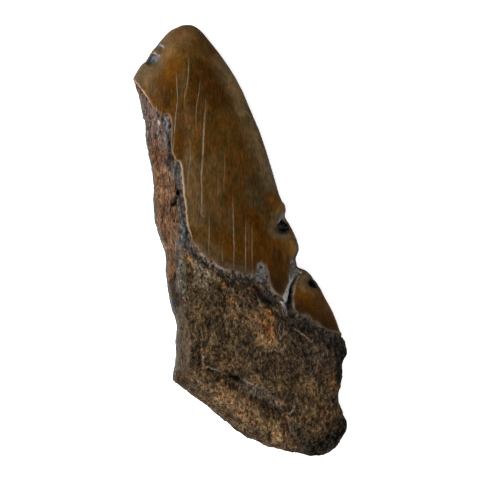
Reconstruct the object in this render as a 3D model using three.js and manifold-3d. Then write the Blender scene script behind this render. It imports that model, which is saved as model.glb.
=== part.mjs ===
// Partial fossil megalodon tooth, lying on its flatter outer (labial) face with the inner (lingual) face up.
// It is the half of a broad tooth that was left when the tooth split down its length: the blade with its
// cutting edge and side cusplet, and one lobe of the root. It grew as one piece, so it is one solid.
//
// Millimetres, right-handed. +Y runs towards the tip, +X towards the cutting edge, +Z out of the inner face.
// The origin lies on the resting plane, under the middle of the bounding box.

import * as THREE from 'three';
import { LoftGeometry } from 'three/addons/geometries/LoftGeometry.js';
import { ImprovedNoise } from 'three/addons/math/ImprovedNoise.js';
import { mergeVertices } from 'three/addons/utils/BufferGeometryUtils.js';
import Module from 'manifold-3d';

// ---------------------------------------------------------------------------------------------------------
// Driving dimensions
// ---------------------------------------------------------------------------------------------------------

const BREAK_END = 40.2; // how far up the break runs, out to what is left of the far cutting edge
const EDGE_LIP = 0.75; // half thickness of the worn cutting edge
const EDGE_FLAT = 0.14; // half width of the flat worn on the very edge
const ROOT_ROUND = 6.5; // how far in the root's margin is rounded
const LOBE_FALL = 0.52; // share of its height that the root loses from its middle to its lobe
const BREAK_BELLY = 0.28; // height on the broken side, as a share of the thickness, where it stands out most
const BREAK_TUCK = 1.3; // how far the broken side draws in below its belly
const BREAK_RIPPLE = 1.1; // height of the lengthwise ridges on the broken side

const ROWS = 62; // sections from the root to the tip
const SAMPLES = 25; // points across each face of a section
const SLIVER = 0.02; // points that the cuts leave closer together than this become one

// Cutting edge, root lobe and the root's lower margin, from the tip round to the middle of the root's arch.
const MARGIN = [
  [-13.6, 54.0], [-10.6, 52.9], [-7.2, 49.2], [-4.4, 45.6], [-1.7, 41.5], [0.5, 37.5], [2.5, 32.8],
  [4.4, 28.4], [6.0, 24.0], [7.6, 19.0], [9.1, 14.0], [10.3, 9.9], [11.3, 7.9], [11.3, 5.6], [12.6, 3.6],
  [13.8, 1.0], [14.8, -1.9], [14.4, -3.6], [13.8, -4.9], [14.4, -6.8], [16.2, -8.3], [18.2, -9.4],
  [19.9, -11.7], [21.4, -14.7], [23.2, -18.1], [24.3, -21.0], [24.9, -22.9], [26.0, -25.2], [26.4, -27.6],
  [26.1, -29.8], [25.7, -31.4], [25.9, -33.4], [25.3, -36.1], [24.8, -39.0], [25.4, -41.6], [26.5, -44.4],
  [26.8, -46.4], [26.0, -49.0], [24.1, -51.4], [21.0, -53.6], [17.4, -54.0], [13.4, -53.4], [9.1, -52.3],
  [4.0, -50.4], [-1.2, -47.2], [-7.2, -42.6], [-12.4, -38.4], [-16.2, -35.5], [-21.5, -32.4], [-28, -29.6],
];

// The rest of the whole tooth, which broke away: the far lobe is left out, and the far edge runs to the tip.
const LOST_SIDE = [[-38, -24], [-44, -10], [-43, 6], [-38.5, 20], [-33.5, 30.5]];

// The short stretch of the far cutting edge that is left beside the tip.
const TIP_SIDE = [[-28.5, 37.0], [-26.6, 40.2], [-25.1, 42.8], [-22.6, 46.0], [-19.9, 49.2], [-17.0, 52.3]];

// The broken side: [y, x] of its outermost line, and of the ridge where it meets the inner face.
const BREAK_OUTER = [
  [40.2, -26.7], [37.8, -25.8], [35.0, -24.9], [31.5, -24.2], [28.8, -23.7], [25.2, -23.6], [21.5, -22.7],
  [19.0, -22.0], [14.5, -21.3], [9.0, -21.2], [4.5, -20.9], [0.2, -19.7], [-3.5, -18.5], [-8.0, -18.3],
  [-13.0, -17.6], [-17.2, -17.0], [-19.8, -16.0], [-22.2, -15.6], [-24.2, -16.0], [-28.0, -15.7],
  [-31.2, -15.8], [-33.8, -16.5], [-36.0, -16.7],
];
const BREAK_RIDGE = [
  [40.2, -26.8], [36.8, -24.2], [33.0, -22.0], [30.0, -20.0], [26.2, -18.8], [22.5, -18.0], [18.8, -17.2],
  [13.8, -16.5], [8.8, -16.0], [-1.2, -15.5], [-11.2, -15.2], [-16.2, -14.5], [-21.2, -13.3],
  [-26.2, -12.8], [-30.5, -12.9], [-36.0, -14.4],
];

// The broken side above its belly, as [share of the height, share of the way in to the ridge]: a steep foot,
// a shelf that leans inwards, and a steep wall under the inner face.
const BREAK_SHELF = [[0, 0], [0.3, 0.08], [0.55, 0.5], [0.74, 0.8], [0.9, 0.94], [1, 1], [1.4, 1.2]];

// Heights above the resting plane, as [y, z].
const CREST = [
  [54, 3.4], [50, 5.2], [44, 7.2], [35, 9.4], [25, 11.6], [15, 13.8], [5, 16.0], [-5, 18.6], [-13, 21.0],
  [-21, 22.6], [-29, 21.8], [-37, 19.0], [-45, 16.2], [-54, 13.0],
];
const MARGIN_HEIGHT = [
  [54, 1.9], [40, 2.1], [20, 2.6], [0, 3.1], [-12, 3.9], [-24, 5.4], [-40, 5.8], [-54, 5.4],
];
const OUTER_FACE = [
  [54, 0.5], [50, -0.1], [44, -0.12], [36, 0.15], [25, 0.75], [12, 1.25], [0, 1.4], [-10, 1.1], [-20, 0.5],
  [-27, -0.05], [-33, -0.35], [-46, -0.35], [-54, 0.3],
];

// How far in from the cutting edge the blade goes on thickening, as [y, distance].
const BLADE_REACH = [
  [54, 1.4], [50, 3.9], [45, 6.8], [40, 9.4], [30, 16], [20, 20.5], [6, 26], [-10, 30], [-54, 30],
];

// Where the crown meets the root on the inner face, as [x, y].
const CROWN_BASE = [
  [-40, 3], [-13, 0.5], [-6, -5.2], [1, -8.4], [6, -10.5], [11, -14.5], [16, -19.5], [27, -24],
];

// Where the sections lie, as [share of the rows, y]: closer together at both ends and around the cusplet.
const ROW_PLACES = [
  [0, -53.98], [0.04, -53.2], [0.1, -50.6], [0.17, -46], [0.42, -24], [0.64, -3], [0.92, 49], [0.97, 53.2],
  [1, 53.98],
];

// Long low forms on the inner face. Each follows a line and fades to both sides over its width: up for a
// ridge, down for a furrow.
const FORMS = [
  // The side cusplet, a small blade of its own beside the main one.
  { along: [[17.0, -10.6], [18.4, -13.8], [20.0, -17.6], [21.6, -21.2]], width: 3.0, rise: 1.5 },
  // The valley between the blade and the cusplet.
  { along: [[15.4, -4.8], [13.2, -8.6], [12.2, -12.6], [12.6, -17.6]], width: 1.5, rise: -1.5 },
  // The band of bare root under the blade's base, which lies lower than what it divides.
  { along: [[-12.8, -0.8], [-8.6, -6.8], [-3, -9.6], [3, -11.2], [8, -14]], width: 1.4, rise: -0.45 },
  // The root's swelling, highest beside the break.
  { along: [[-12, -22], [-5, -24], [3, -25.5], [10, -28]], width: 5.5, rise: 0.9 },
  // The crease across the root below its swelling.
  { along: [[-9.2, -31.8], [-4.6, -32.4], [0.2, -34.6], [5.4, -37.4], [12.4, -45.4]], width: 1.7, rise: -1 },
  // A knuckle at the root's outer corner, and the dip between it and the lobe.
  { along: [[21.5, -27.2], [23.8, -29.6]], width: 2.6, rise: 1.0 },
  { along: [[17, -36.2], [22.5, -37.8]], width: 2.6, rise: -0.9 },
  { along: [[14.5, -47.5], [20, -47.5]], width: 4.2, rise: 0.8 },
];

// ---------------------------------------------------------------------------------------------------------
// Helpers
// ---------------------------------------------------------------------------------------------------------

const wasm = await Module();
wasm.setup();
const perlin = new ImprovedNoise();

const clamp01 = (value) => THREE.MathUtils.clamp(value, 0, 1);

// A smooth curve through [key, value] points, as a function of the key.
function profile(points) {
  const knots = [...points].sort((a, b) => a[0] - b[0]);
  const slope = (i) => {
    const before = knots[Math.max(i - 1, 0)];
    const after = knots[Math.min(i + 1, knots.length - 1)];
    return (after[1] - before[1]) / (after[0] - before[0]);
  };
  return (key) => {
    if (key <= knots[0][0]) return knots[0][1];
    if (key >= knots.at(-1)[0]) return knots.at(-1)[1];
    const i = knots.findIndex((knot) => knot[0] > key) - 1;
    const width = knots[i + 1][0] - knots[i][0];
    const t = (key - knots[i][0]) / width;
    const rise = t * t * (3 - 2 * t);
    const leave = t * (1 - t) * (1 - t) * width * slope(i);
    const arrive = t * t * (t - 1) * width * slope(i + 1);
    return knots[i][1] + (knots[i + 1][1] - knots[i][1]) * rise + leave + arrive;
  };
}

// A quarter circle from 0 at the margin to 1 at a distance of one radius.
function quarterRound(distance, radius) {
  const t = 1 - clamp01(distance / radius);
  return Math.sqrt(1 - t * t);
}

function lumps(x, y, z, size) {
  return perlin.noise(x / size, y / size, z / size);
}

// A closed geometry as a solid: vertices in one place are merged, and the triangles that this flattens go.
function solidOf(geometry, weld = 1e-4) {
  const bare = new THREE.BufferGeometry();
  bare.setAttribute('position', geometry.getAttribute('position'));
  bare.setIndex(geometry.getIndex());
  const merged = mergeVertices(bare, weld);
  const corners = merged.getIndex().array;
  const kept = [];
  for (let i = 0; i < corners.length; i += 3) {
    const [a, b, c] = [corners[i], corners[i + 1], corners[i + 2]];
    if (a !== b && b !== c && c !== a) kept.push(a, b, c);
  }
  return new wasm.Manifold(new wasm.Mesh({
    numProp: 3,
    vertProperties: merged.getAttribute('position').array,
    triVerts: new Uint32Array(kept),
  }));
}

// A loft through the sections, with each end drawn in to the middle of its section.
function closedLoft(sections) {
  const gathered = (section) => {
    const middle = section.reduce((sum, p) => sum.add(p), new THREE.Vector3()).divideScalar(section.length);
    return section.map(() => middle);
  };
  return solidOf(new LoftGeometry([gathered(sections[0]), ...sections, gathered(sections.at(-1))]));
}

function geometryOf(solid) {
  const mesh = solid.getMesh();
  const geometry = new THREE.BufferGeometry();
  geometry.setAttribute('position', new THREE.BufferAttribute(mesh.vertProperties, 3));
  geometry.setIndex(new THREE.BufferAttribute(mesh.triVerts, 1));
  return geometry;
}

// ---------------------------------------------------------------------------------------------------------
// The outline of the whole tooth, seen from above
// ---------------------------------------------------------------------------------------------------------

const OUTLINE_POINTS = 900;
const outline = new THREE.CatmullRomCurve3(
  [...MARGIN, ...LOST_SIDE, ...TIP_SIDE].map(([x, y]) => new THREE.Vector3(x, y, 0)), true, 'centripetal',
).getPoints(OUTLINE_POINTS);

const breakOuter = profile(BREAK_OUTER);
const breakRidge = profile(BREAK_RIDGE);
const crest = profile(CREST);
const marginHeight = profile(MARGIN_HEIGHT);
const outerFace = profile(OUTER_FACE);
const bladeReach = profile(BLADE_REACH);
const crownBase = profile(CROWN_BASE);
const rowPlace = profile(ROW_PLACES);
const breakShelf = profile(BREAK_SHELF);

// Where a line across the tooth at height y enters and leaves the outline.
function span(y) {
  const crossings = [];
  for (let i = 1; i < outline.length; i++) {
    const [a, b] = [outline[i - 1], outline[i]];
    if ((a.y > y) !== (b.y > y)) crossings.push(a.x + (b.x - a.x) * (y - a.y) / (b.y - a.y));
  }
  return [Math.min(...crossings), Math.max(...crossings)];
}

function distanceToMargin(x, y) {
  let nearest = Infinity;
  for (let i = 1; i < outline.length; i++) {
    const [a, b] = [outline[i - 1], outline[i]];
    const [dx, dy] = [b.x - a.x, b.y - a.y];
    const t = clamp01(((x - a.x) * dx + (y - a.y) * dy) / (dx * dx + dy * dy || 1));
    nearest = Math.min(nearest, Math.hypot(x - a.x - t * dx, y - a.y - t * dy));
  }
  return nearest;
}

// ---------------------------------------------------------------------------------------------------------
// The two faces
// ---------------------------------------------------------------------------------------------------------

// 1 on the crown, 0 on the root, with a short slope between.
function crownShare(x, y) {
  return THREE.MathUtils.smoothstep(y - crownBase(x), -3.5, 3.5);
}

const forms = FORMS.map(({ along, width, rise }) => ({
  path: new THREE.SplineCurve(along.map(([x, y]) => new THREE.Vector2(x, y))).getPoints(24),
  width,
  rise,
}));

function relief(x, y) {
  return forms.reduce((sum, { path, width, rise }) => {
    const nearest = Math.min(...path.map((p) => Math.hypot(p.x - x, p.y - y)));
    return sum + rise * Math.exp(-((nearest / width) ** 2));
  }, 0);
}

function innerFace(x, y) {
  const edge = distanceToMargin(x, y);
  const height = marginHeight(y);
  const bladeRise = 1 - (1 - clamp01(edge / bladeReach(y))) ** 1.75;
  const blade = EDGE_LIP * quarterRound(edge, EDGE_LIP * 1.4) + (crest(y) - height - EDGE_LIP) * bladeRise;

  const acrossRoot = clamp01((x + 13) / 38);
  const rootCrest = crest(y) * (1 - LOBE_FALL * acrossRoot ** 1.6) - height;
  const grain = 0.6 * lumps(x, y, 3, 9) + 0.45 * lumps(x, y * 0.8, 11, 4.2);
  const root = (rootCrest + grain) * quarterRound(edge, ROOT_ROUND);

  const crown = crownShare(x, y);
  const rise = crown * blade + (1 - crown) * root + relief(x, y) * clamp01(edge / 2.2);
  return height + EDGE_FLAT + Math.max(rise, 0);
}

function restingFace(x, y) {
  const edge = distanceToMargin(x, y);
  const height = marginHeight(y);
  const crown = crownShare(x, y + 5);
  const depth = height - outerFace(y);
  const blade = EDGE_LIP * quarterRound(edge, EDGE_LIP * 1.4)
    + (depth - EDGE_LIP) * (1 - (1 - clamp01(edge / 9)) ** 2);
  const root = depth * quarterRound(edge, ROOT_ROUND * 0.8) + 0.25 * lumps(x, y, 20, 7) * clamp01(edge / 4);
  return Math.max(height - EDGE_FLAT - (crown * blade + (1 - crown) * root), 0);
}

// ---------------------------------------------------------------------------------------------------------
// Solids
// ---------------------------------------------------------------------------------------------------------

// The tooth before it split, as sections across it.
function wholeTooth() {
  const sections = [];
  for (let row = 0; row <= ROWS; row++) {
    const y = rowPlace(row / ROWS);
    const [left, right] = span(y);
    const start = Math.max(left, breakOuter(y) - 2);
    const under = [];
    const over = [];
    for (let i = 0; i < SAMPLES; i++) {
      const even = i / (SAMPLES - 1);
      const crowded = 0.5 - 0.5 * Math.cos(Math.PI * even);
      const x = THREE.MathUtils.lerp(start, right, THREE.MathUtils.lerp(even, crowded, 0.75));
      under.push(new THREE.Vector3(x, y, restingFace(x, y)));
      over.push(new THREE.Vector3(x, y, innerFace(x, y)));
    }
    sections.push([...over, ...under.reverse()]);
  }
  return closedLoft(sections);
}

// How far in from its outermost line the broken side lies, at a share of the tooth's thickness.
function breakLean(share, width) {
  if (share < BREAK_BELLY) return BREAK_TUCK * Math.min((1 - share / BREAK_BELLY) ** 2, 2);
  return width * breakShelf((share - BREAK_BELLY) / (1 - BREAK_BELLY));
}

// All that lies beyond the break, with the lengthwise ridges that the torn dentine shows.
function lostHalf() {
  const FAR = -80;
  const [LOW, HIGH] = [-4, 28];
  const STEPS = 15;
  const [FIRST_SHARE, LAST_SHARE] = [-0.2, 1.2];
  const sections = [];
  for (let y = -60; y <= 43.5; y += 1.5) {
    const past = Math.max(y - BREAK_END, 0);
    const outer = breakOuter(y) - 1.6 * past;
    const ridge = breakRidge(y) - 1.6 * past;
    const points = [new THREE.Vector3(FAR, y, LOW), new THREE.Vector3(FAR, y, HIGH)];
    for (let i = 0; i <= STEPS; i++) {
      const share = THREE.MathUtils.lerp(LAST_SHARE, FIRST_SHARE, i / STEPS);
      const z = THREE.MathUtils.lerp(outerFace(y), crest(y), share);
      const calm = clamp01((BREAK_END - y) / 12) * clamp01((1 - share) / 0.2);
      const ripple = BREAK_RIPPLE * Math.max(lumps(z, y * 0.3, 5, 3.4), -0.4) * calm;
      points.push(new THREE.Vector3(outer + breakLean(share, ridge - outer) + ripple, y, z));
    }
    points[points.length - 1].z = LOW;
    points[2].z = HIGH;
    sections.push(points);
  }
  return closedLoft(sections);
}

// A ball drawn out to its three half sizes, turned about the vertical, whose middle lies a stated height
// above the inner face, so that it takes out a shallow scoop.
function scoop([x, y], [width, length, depth], raised, turn, facets = 14) {
  const ball = new THREE.SphereGeometry(1, facets, Math.round(facets * 0.7));
  ball.rotateX(Math.PI / 2);
  ball.scale(width, length, depth);
  ball.rotateZ(turn);
  ball.translate(x, y, innerFace(x, y) + raised);
  return solidOf(ball);
}

// A narrow V-shaped cleft that follows a line on the inner face and runs out to nothing at both ends.
function cleft(points, width, depth) {
  const STEPS = 14;
  const HEADROOM = 2;
  const line = new THREE.SplineCurve(points.map(([x, y]) => new THREE.Vector2(x, y)));
  const sections = [];
  for (let i = 0; i <= STEPS; i++) {
    const t = i / STEPS;
    const { x, y } = line.getPoint(t);
    const along = line.getTangent(t);
    const strength = Math.sin(Math.PI * THREE.MathUtils.lerp(0.03, 0.97, t)) ** 0.7;
    const half = 0.5 * width * strength;
    const surface = innerFace(x, y);
    const across = new THREE.Vector3(-along.y, along.x, 0).multiplyScalar(half);
    const above = new THREE.Vector3(x, y, surface + HEADROOM);
    const bottom = new THREE.Vector3(x, y, surface - depth * strength);
    sections.push([above.clone().sub(across), bottom, above.clone().add(across)]);
  }
  return closedLoft(sections);
}

// ---------------------------------------------------------------------------------------------------------
// What wear and the split left on it
// ---------------------------------------------------------------------------------------------------------

// Chips out of the cutting edges, one at the cusplet's point, and a hollow under the blade's base.
const CHIPS = [
  { at: [11.4, 3.4], sizes: [1.8, 1.9, 1.7], raised: 0.5, turn: 0.3 },
  { at: [-21.9, 45.0], sizes: [1.2, 1.7, 0.9], raised: 0.2, turn: -0.7 },
  { at: [-19.7, 47.6], sizes: [0.8, 1.3, 0.7], raised: 0.2, turn: -0.9 },
  { at: [18.6, -10.8], sizes: [1.0, 1.2, 0.8], raised: 0.6, turn: 0.5 },
  { at: [7.2, -13.8], sizes: [2.6, 1.3, 0.9], raised: 0.2, turn: -0.6 },
];

// Openings in the root that once fed the tooth, as [x, y, radius].
const PITS = [
  [-6.4, -31.2, 0.7], [6.4, -38.6, 0.55], [4.2, -15.6, 0.6], [-9.4, -28.8, 0.6], [16.8, -28.2, 0.5],
  [14.6, -44.4, 0.6],
];

const CLEFTS = [
  { along: [[17.6, -8.4], [15.2, -9.9], [14.1, -12], [13.8, -15], [14.3, -18.6]], width: 1.6, depth: 1.7 },
  { along: [[-5.6, -32.2], [-1.4, -33.6], [2.0, -34.6], [5.0, -36.8]], width: 1.2, depth: 1.1 },
];

function finishedTooth() {
  let solid = wholeTooth().subtract(lostHalf());
  for (const { at, sizes, raised, turn } of CHIPS) solid = solid.subtract(scoop(at, sizes, raised, turn));
  for (const [x, y, radius] of PITS) solid = solid.subtract(scoop([x, y], [radius, radius, 1.1], 0.2, 0, 8));
  for (const { along, width, depth } of CLEFTS) solid = solid.subtract(cleft(along, width, depth));
  return solidOf(geometryOf(solid), SLIVER);
}

// ---------------------------------------------------------------------------------------------------------
// Scene graph
// ---------------------------------------------------------------------------------------------------------

// The finished tooth, with the middle of its bounding box over the origin.
function centredTooth() {
  const geometry = geometryOf(finishedTooth());
  geometry.computeBoundingBox();
  const middle = geometry.boundingBox.getCenter(new THREE.Vector3());
  return geometry.translate(-middle.x, -middle.y, 0);
}

const mesh = new THREE.Mesh(
  centredTooth(),
  new THREE.MeshStandardMaterial({ color: 0x4a3018, roughness: 0.5, metalness: 0 }),
);
mesh.name = 'tooth';

const part = new THREE.Group();
part.add(mesh);
export default part;
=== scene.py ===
# %% [markdown]
# # A split fossil tooth
#
# This notebook dresses one half of a megalodon tooth that split down its length. The real thing is a single
# piece of phosphate stone with four kinds of skin: glossy enamel on the blade and the side cusplet, matt
# fibrous root, bare grey dentine where enamel has flaked away, and the woody broken side. The solid model
# gives its body and its size. Here it gets a dense skin, carved detail and one material that knows which
# skin it is on.

# %% Load the solid model
import math

import bpy
import numpy as np
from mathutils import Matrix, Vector, noise


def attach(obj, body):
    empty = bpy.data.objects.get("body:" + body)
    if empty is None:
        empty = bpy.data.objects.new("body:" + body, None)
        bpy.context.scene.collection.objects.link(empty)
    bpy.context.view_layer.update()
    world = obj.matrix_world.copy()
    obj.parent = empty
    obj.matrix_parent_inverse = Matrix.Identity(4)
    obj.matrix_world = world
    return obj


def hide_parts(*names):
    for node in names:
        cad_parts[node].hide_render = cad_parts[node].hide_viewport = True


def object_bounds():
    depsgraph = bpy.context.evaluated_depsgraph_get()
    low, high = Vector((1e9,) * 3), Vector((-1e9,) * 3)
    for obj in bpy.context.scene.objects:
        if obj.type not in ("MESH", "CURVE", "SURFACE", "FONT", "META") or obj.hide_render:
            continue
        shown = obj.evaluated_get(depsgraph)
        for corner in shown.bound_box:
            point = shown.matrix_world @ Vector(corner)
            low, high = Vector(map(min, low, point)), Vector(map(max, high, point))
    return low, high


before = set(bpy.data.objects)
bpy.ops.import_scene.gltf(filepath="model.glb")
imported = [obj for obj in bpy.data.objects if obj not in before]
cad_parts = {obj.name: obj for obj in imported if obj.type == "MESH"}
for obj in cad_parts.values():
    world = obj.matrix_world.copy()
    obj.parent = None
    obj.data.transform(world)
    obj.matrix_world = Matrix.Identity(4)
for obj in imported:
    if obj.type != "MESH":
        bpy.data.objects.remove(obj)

solid_low, solid_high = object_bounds()
MM = 0.001
print("solid box, mm:", [round(v / MM, 2) for v in (*solid_low, *solid_high)])

# %% [markdown]
# ## Stage
#
# The tooth lies on a pale table and is looked at from straight above. Enamel is a dark mirror, so whatever
# is bright around it would wash its brown out to grey. In a studio, polarising film goes on the lamps and,
# crossed, on the lens, so that only light that has been inside the enamel comes through. Here the lamps and
# the table are hidden from mirror rays, which does the same. What is left to mirror is a dim tent: a faint
# ring of light near the horizon, and dark overhead and below. The table glows a little of its own, like a
# sheet on a light box, so no grey shadow gathers around the tooth. A long lens keeps the outline free of
# perspective.

# %% Table
TABLE_SIZE = 3.0
TABLE_DROP = 0.05 * MM  # keeps the table just clear of the flats that the tooth rests on
PAPER = {
    "Base Color": (0.93, 0.93, 0.93, 1),
    "Roughness": 0.9,
    "Emission Color": (1, 1, 1, 1),
    "Emission Strength": 0.8,
}

bpy.ops.object.select_all(action="DESELECT")
bpy.ops.mesh.primitive_plane_add(size=TABLE_SIZE, location=(0, 0, -TABLE_DROP))
table = bpy.context.object
table.name = "table"
paper = bpy.data.materials.new("white paper")
paper.use_nodes = True
for socket, value in PAPER.items():
    paper.node_tree.nodes["Principled BSDF"].inputs[socket].default_value = value
table.data.materials.append(paper)
table.visible_glossy = False
print("table", table.dimensions[:])

# %% Camera
LENS = 300.0  # mm on a 36 mm sensor
SENSOR = 36.0
VIEW_WIDTH = 120 * MM  # what the picture spans at the height of the cutting edge
EDGE_HEIGHT = 4 * MM

distance = VIEW_WIDTH * LENS / SENSOR
bpy.ops.object.camera_add(location=(0, 0, EDGE_HEIGHT + distance), rotation=(0, 0, 0))
camera = bpy.context.object
camera.data.lens = LENS
camera.data.sensor_width = SENSOR
camera.data.clip_start = 0.01
camera.data.clip_end = 20
bpy.context.scene.camera = camera
print("camera height, m:", round(camera.location.z, 3))

# %% Lights
bpy.context.scene.view_settings.view_transform = "Standard"
bpy.context.scene.view_settings.look = "None"

SIDE_LIGHTS = [
    # name, direction as azimuth and elevation in degrees, distance and size in metres, power in watts
    ("key", 168, 36, 0.75, 0.50, 8.5),
    ("fill", -20, 40, 0.80, 0.55, 1.8),
    ("foot", -108, 48, 0.80, 0.45, 2.3),
]


def side_light(name, azimuth, elevation, reach, size, power):
    """A square softbox that faces the tooth from a compass direction and a height."""
    across, up = math.radians(azimuth), math.radians(elevation)
    way = Vector((math.cos(across) * math.cos(up), math.sin(across) * math.cos(up), math.sin(up)))
    bpy.ops.object.light_add(type="AREA", location=way * reach)
    lamp = bpy.context.object
    lamp.name = name
    lamp.rotation_euler = way.to_track_quat("Z", "Y").to_euler()
    lamp.data.size = size
    lamp.data.energy = power
    lamp.visible_glossy = False


for light in SIDE_LIGHTS:
    side_light(*light)
print("lights:", [light[0] for light in SIDE_LIGHTS])

# %% Light tent
HORIZON_LIGHT = 0.26
ZENITH_LIGHT = 0.03
BELOW_LIGHT = 0.05
OVERHEAD = (0.45, 0.9)  # the heights, from -1 to 1, between which the tent darkens overhead
UNDERFOOT = (-0.2, -0.02)  # and those between which it darkens below

world = bpy.data.worlds.new("light tent")
bpy.context.scene.world = world
world.use_nodes = True
sky = world.node_tree
direction = sky.nodes.new("ShaderNodeTexCoord")
split = sky.nodes.new("ShaderNodeSeparateXYZ")
sky.links.new(direction.outputs["Generated"], split.inputs[0])


def tent_fade(heights, lower, upper):
    """A smooth change of brightness over a range of heights; a link may replace a value later."""
    fade = sky.nodes.new("ShaderNodeMapRange")
    fade.interpolation_type = "SMOOTHSTEP"
    for socket, value in zip(("From Min", "From Max", "To Min", "To Max"), (*heights, lower, upper)):
        fade.inputs[socket].default_value = value
    sky.links.new(split.outputs["Z"], fade.inputs["Value"])
    return fade


above = tent_fade(OVERHEAD, HORIZON_LIGHT, ZENITH_LIGHT)
below = tent_fade(UNDERFOOT, BELOW_LIGHT, HORIZON_LIGHT)
sky.links.new(above.outputs["Result"], below.inputs["To Max"])
sky.links.new(below.outputs["Result"], sky.nodes["Background"].inputs["Strength"])
print("tent with", len(sky.nodes), "nodes")

# %% [markdown]
# ## A dense skin over the solid
#
# The solid is faceted, which is right for collision but would show as flats in polished enamel. A copy of
# it is wrapped in a fine even mesh by the Remesh modifier. A second copy, rounded by Subdivision Surface, is
# a former: the skin is drawn onto it with Shrinkwrap wherever the faces are broad, and then smoothed. The
# edge would melt under that smoothing, so vertex groups hold it back there.

# %% Copy and remesh
SKIN_STEP = 0.38 * MM


def make_active(thing):
    """Select one object alone, as every operator here expects."""
    bpy.ops.object.select_all(action="DESELECT")
    thing.select_set(True)
    bpy.context.view_layer.objects.active = thing


def apply_modifier(thing, kind, **settings):
    """Add a modifier, set it and apply it at once."""
    make_active(thing)
    bpy.ops.object.modifier_add(type=kind)
    modifier = thing.modifiers[-1]
    for key, value in settings.items():
        setattr(modifier, key, value)
    bpy.ops.object.modifier_apply(modifier=modifier.name)


def copy_of_solid(name):
    """An object with its own merged copy of the solid's mesh."""
    made = bpy.data.objects.new(name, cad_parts["tooth"].data.copy())
    bpy.context.collection.objects.link(made)
    made.data.materials.clear()
    make_active(made)
    bpy.ops.object.mode_set(mode="EDIT")
    bpy.ops.mesh.select_all(action="SELECT")
    bpy.ops.mesh.remove_doubles(threshold=0.001 * MM)
    bpy.ops.object.mode_set(mode="OBJECT")
    return made


tooth = copy_of_solid("fossil_tooth")
apply_modifier(tooth, "REMESH", mode="VOXEL", voxel_size=SKIN_STEP, use_smooth_shade=True)
former = copy_of_solid("smooth former")
apply_modifier(former, "SUBSURF", levels=2, render_levels=2)
print("skin:", len(tooth.data.vertices), "points; former:", len(former.data.vertices))

# %% [markdown]
# ## Measuring tools
#
# Everything that follows is placed by lines drawn on the tooth as seen from above, in millimetres: where
# the enamel ends, where a crack runs. A few functions turn a line into numbers at each point of the skin:
# how far away it is, and on which side. Perlin noise gives the wobble that keeps drawn lines from looking
# drawn.


# %% Points, distances and noise
FAR = 1e9  # mm, farther than any point


def skin_points(thing):
    """The places and normals of a mesh's points, in millimetres."""
    count = len(thing.data.vertices)
    places = np.empty(count * 3)
    normals = np.empty(count * 3)
    thing.data.vertices.foreach_get("co", places)
    thing.data.vertex_normals.foreach_get("vector", normals)
    return places.reshape(-1, 3) / MM, normals.reshape(-1, 3)


def near_line(places, line):
    """Distance to a line, signed offset across it (left is positive), and the share of the way along it."""
    line = np.array(line, float)[:, :2]
    steps = np.linalg.norm(np.diff(line, axis=0), axis=1)
    starts = np.concatenate([[0], np.cumsum(steps)])
    best = np.full(len(places), FAR)
    offset = np.zeros(len(places))
    share = np.zeros(len(places))
    for i, step in enumerate(steps):
        along = (line[i + 1] - line[i]) / step
        gap = places[:, :2] - line[i]
        run = np.clip(gap @ along, 0, step)
        far = np.linalg.norm(gap - run[:, None] * along, axis=1)
        closer = far < best
        best[closer] = far[closer]
        side = along[0] * gap[:, 1] - along[1] * gap[:, 0]
        offset[closer] = (np.sign(side) * far)[closer]
        share[closer] = ((starts[i] + run) / starts[-1])[closer]
    return best, offset, share


def inside(places, area):
    """Which points lie inside a closed area, seen from above."""
    area = np.array(area, float)[:, :2]
    x, y = places[:, 0], places[:, 1]
    found = np.zeros(len(places), bool)
    for a, b in zip(area, np.roll(area, -1, axis=0)):
        if a[1] == b[1]:
            continue
        crosses = (a[1] > y) != (b[1] > y)
        found ^= crosses & (x < a[0] + (y - a[1]) * (b[0] - a[0]) / (b[1] - a[1]))
    return found


def area_depth(places, border, beyond):
    """Signed distance to a border, positive inside the area that it closes with the points beyond it."""
    depth = near_line(places, border)[0]
    closed = [point[:2] for point in border] + list(beyond)
    return np.where(inside(places, closed), depth, -depth)


def depth_in(places, area):
    """Signed distance to the rim of a closed area, positive inside it."""
    gap = near_line(places, area + area[:1])[0]
    return np.where(inside(places, area), gap, -gap)


APART = 7.31  # moves each start to another part of the noise


def wobble(places, size, stretch=(1, 1, 1), octaves=3, start=0):
    """Perlin noise from about -1 to 1, of a size in millimetres, drawn out along any axis."""
    scaled = places / (np.array(stretch) * size) + start * APART
    return np.array([noise.fractal(Vector(p), 1.0, 2.0, octaves) for p in scaled])


def smoothstep(low, high, values):
    """0 below low and 1 above high, or the other way round where low is the larger."""
    t = np.clip((values - low) / (high - low), 0, 1)
    return t * t * (3 - 2 * t)


def pointed(share, tip=0.04, power=0.5):
    """The strength of a line along its length: full for most of it, and less towards both ends."""
    return np.sin(np.pi * np.clip(share, tip, 1 - tip)) ** power


# %% The outline of the skin, seen from above
OUTLINE_STEP = 0.6
END_GAP = 0.3  # from the root's end to the first step


def outline_side(points, pick):
    """The outermost points of the skin on one side, one for each step along its length."""
    levels = np.arange(points[:, 1].min() + END_GAP, points[:, 1].max(), OUTLINE_STEP)
    rows = [points[np.abs(points[:, 1] - level) < OUTLINE_STEP] for level in levels]
    return [(pick(row[:, 0]), level) for row, level in zip(rows, levels) if len(row)]


whole_skin = skin_points(tooth)[0]
cutting_side = outline_side(whole_skin, np.max)
broken_outline = outline_side(whole_skin, np.min)

# How high the cutting edge runs above the table: places along the tooth, and the height at each.
EDGE_MIDDLE = [(-54, 5.4), (-24, 5.4), (-12, 3.9), (0, 3.1), (20, 2.6), (40, 2.1), (54, 1.9)]


def middle_height(y):
    """The height that parts the inner face from the outer one."""
    keys = np.array(EDGE_MIDDLE)
    return np.interp(y, keys[:, 0], keys[:, 1])


print("outline points:", len(cutting_side), len(broken_outline))

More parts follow.
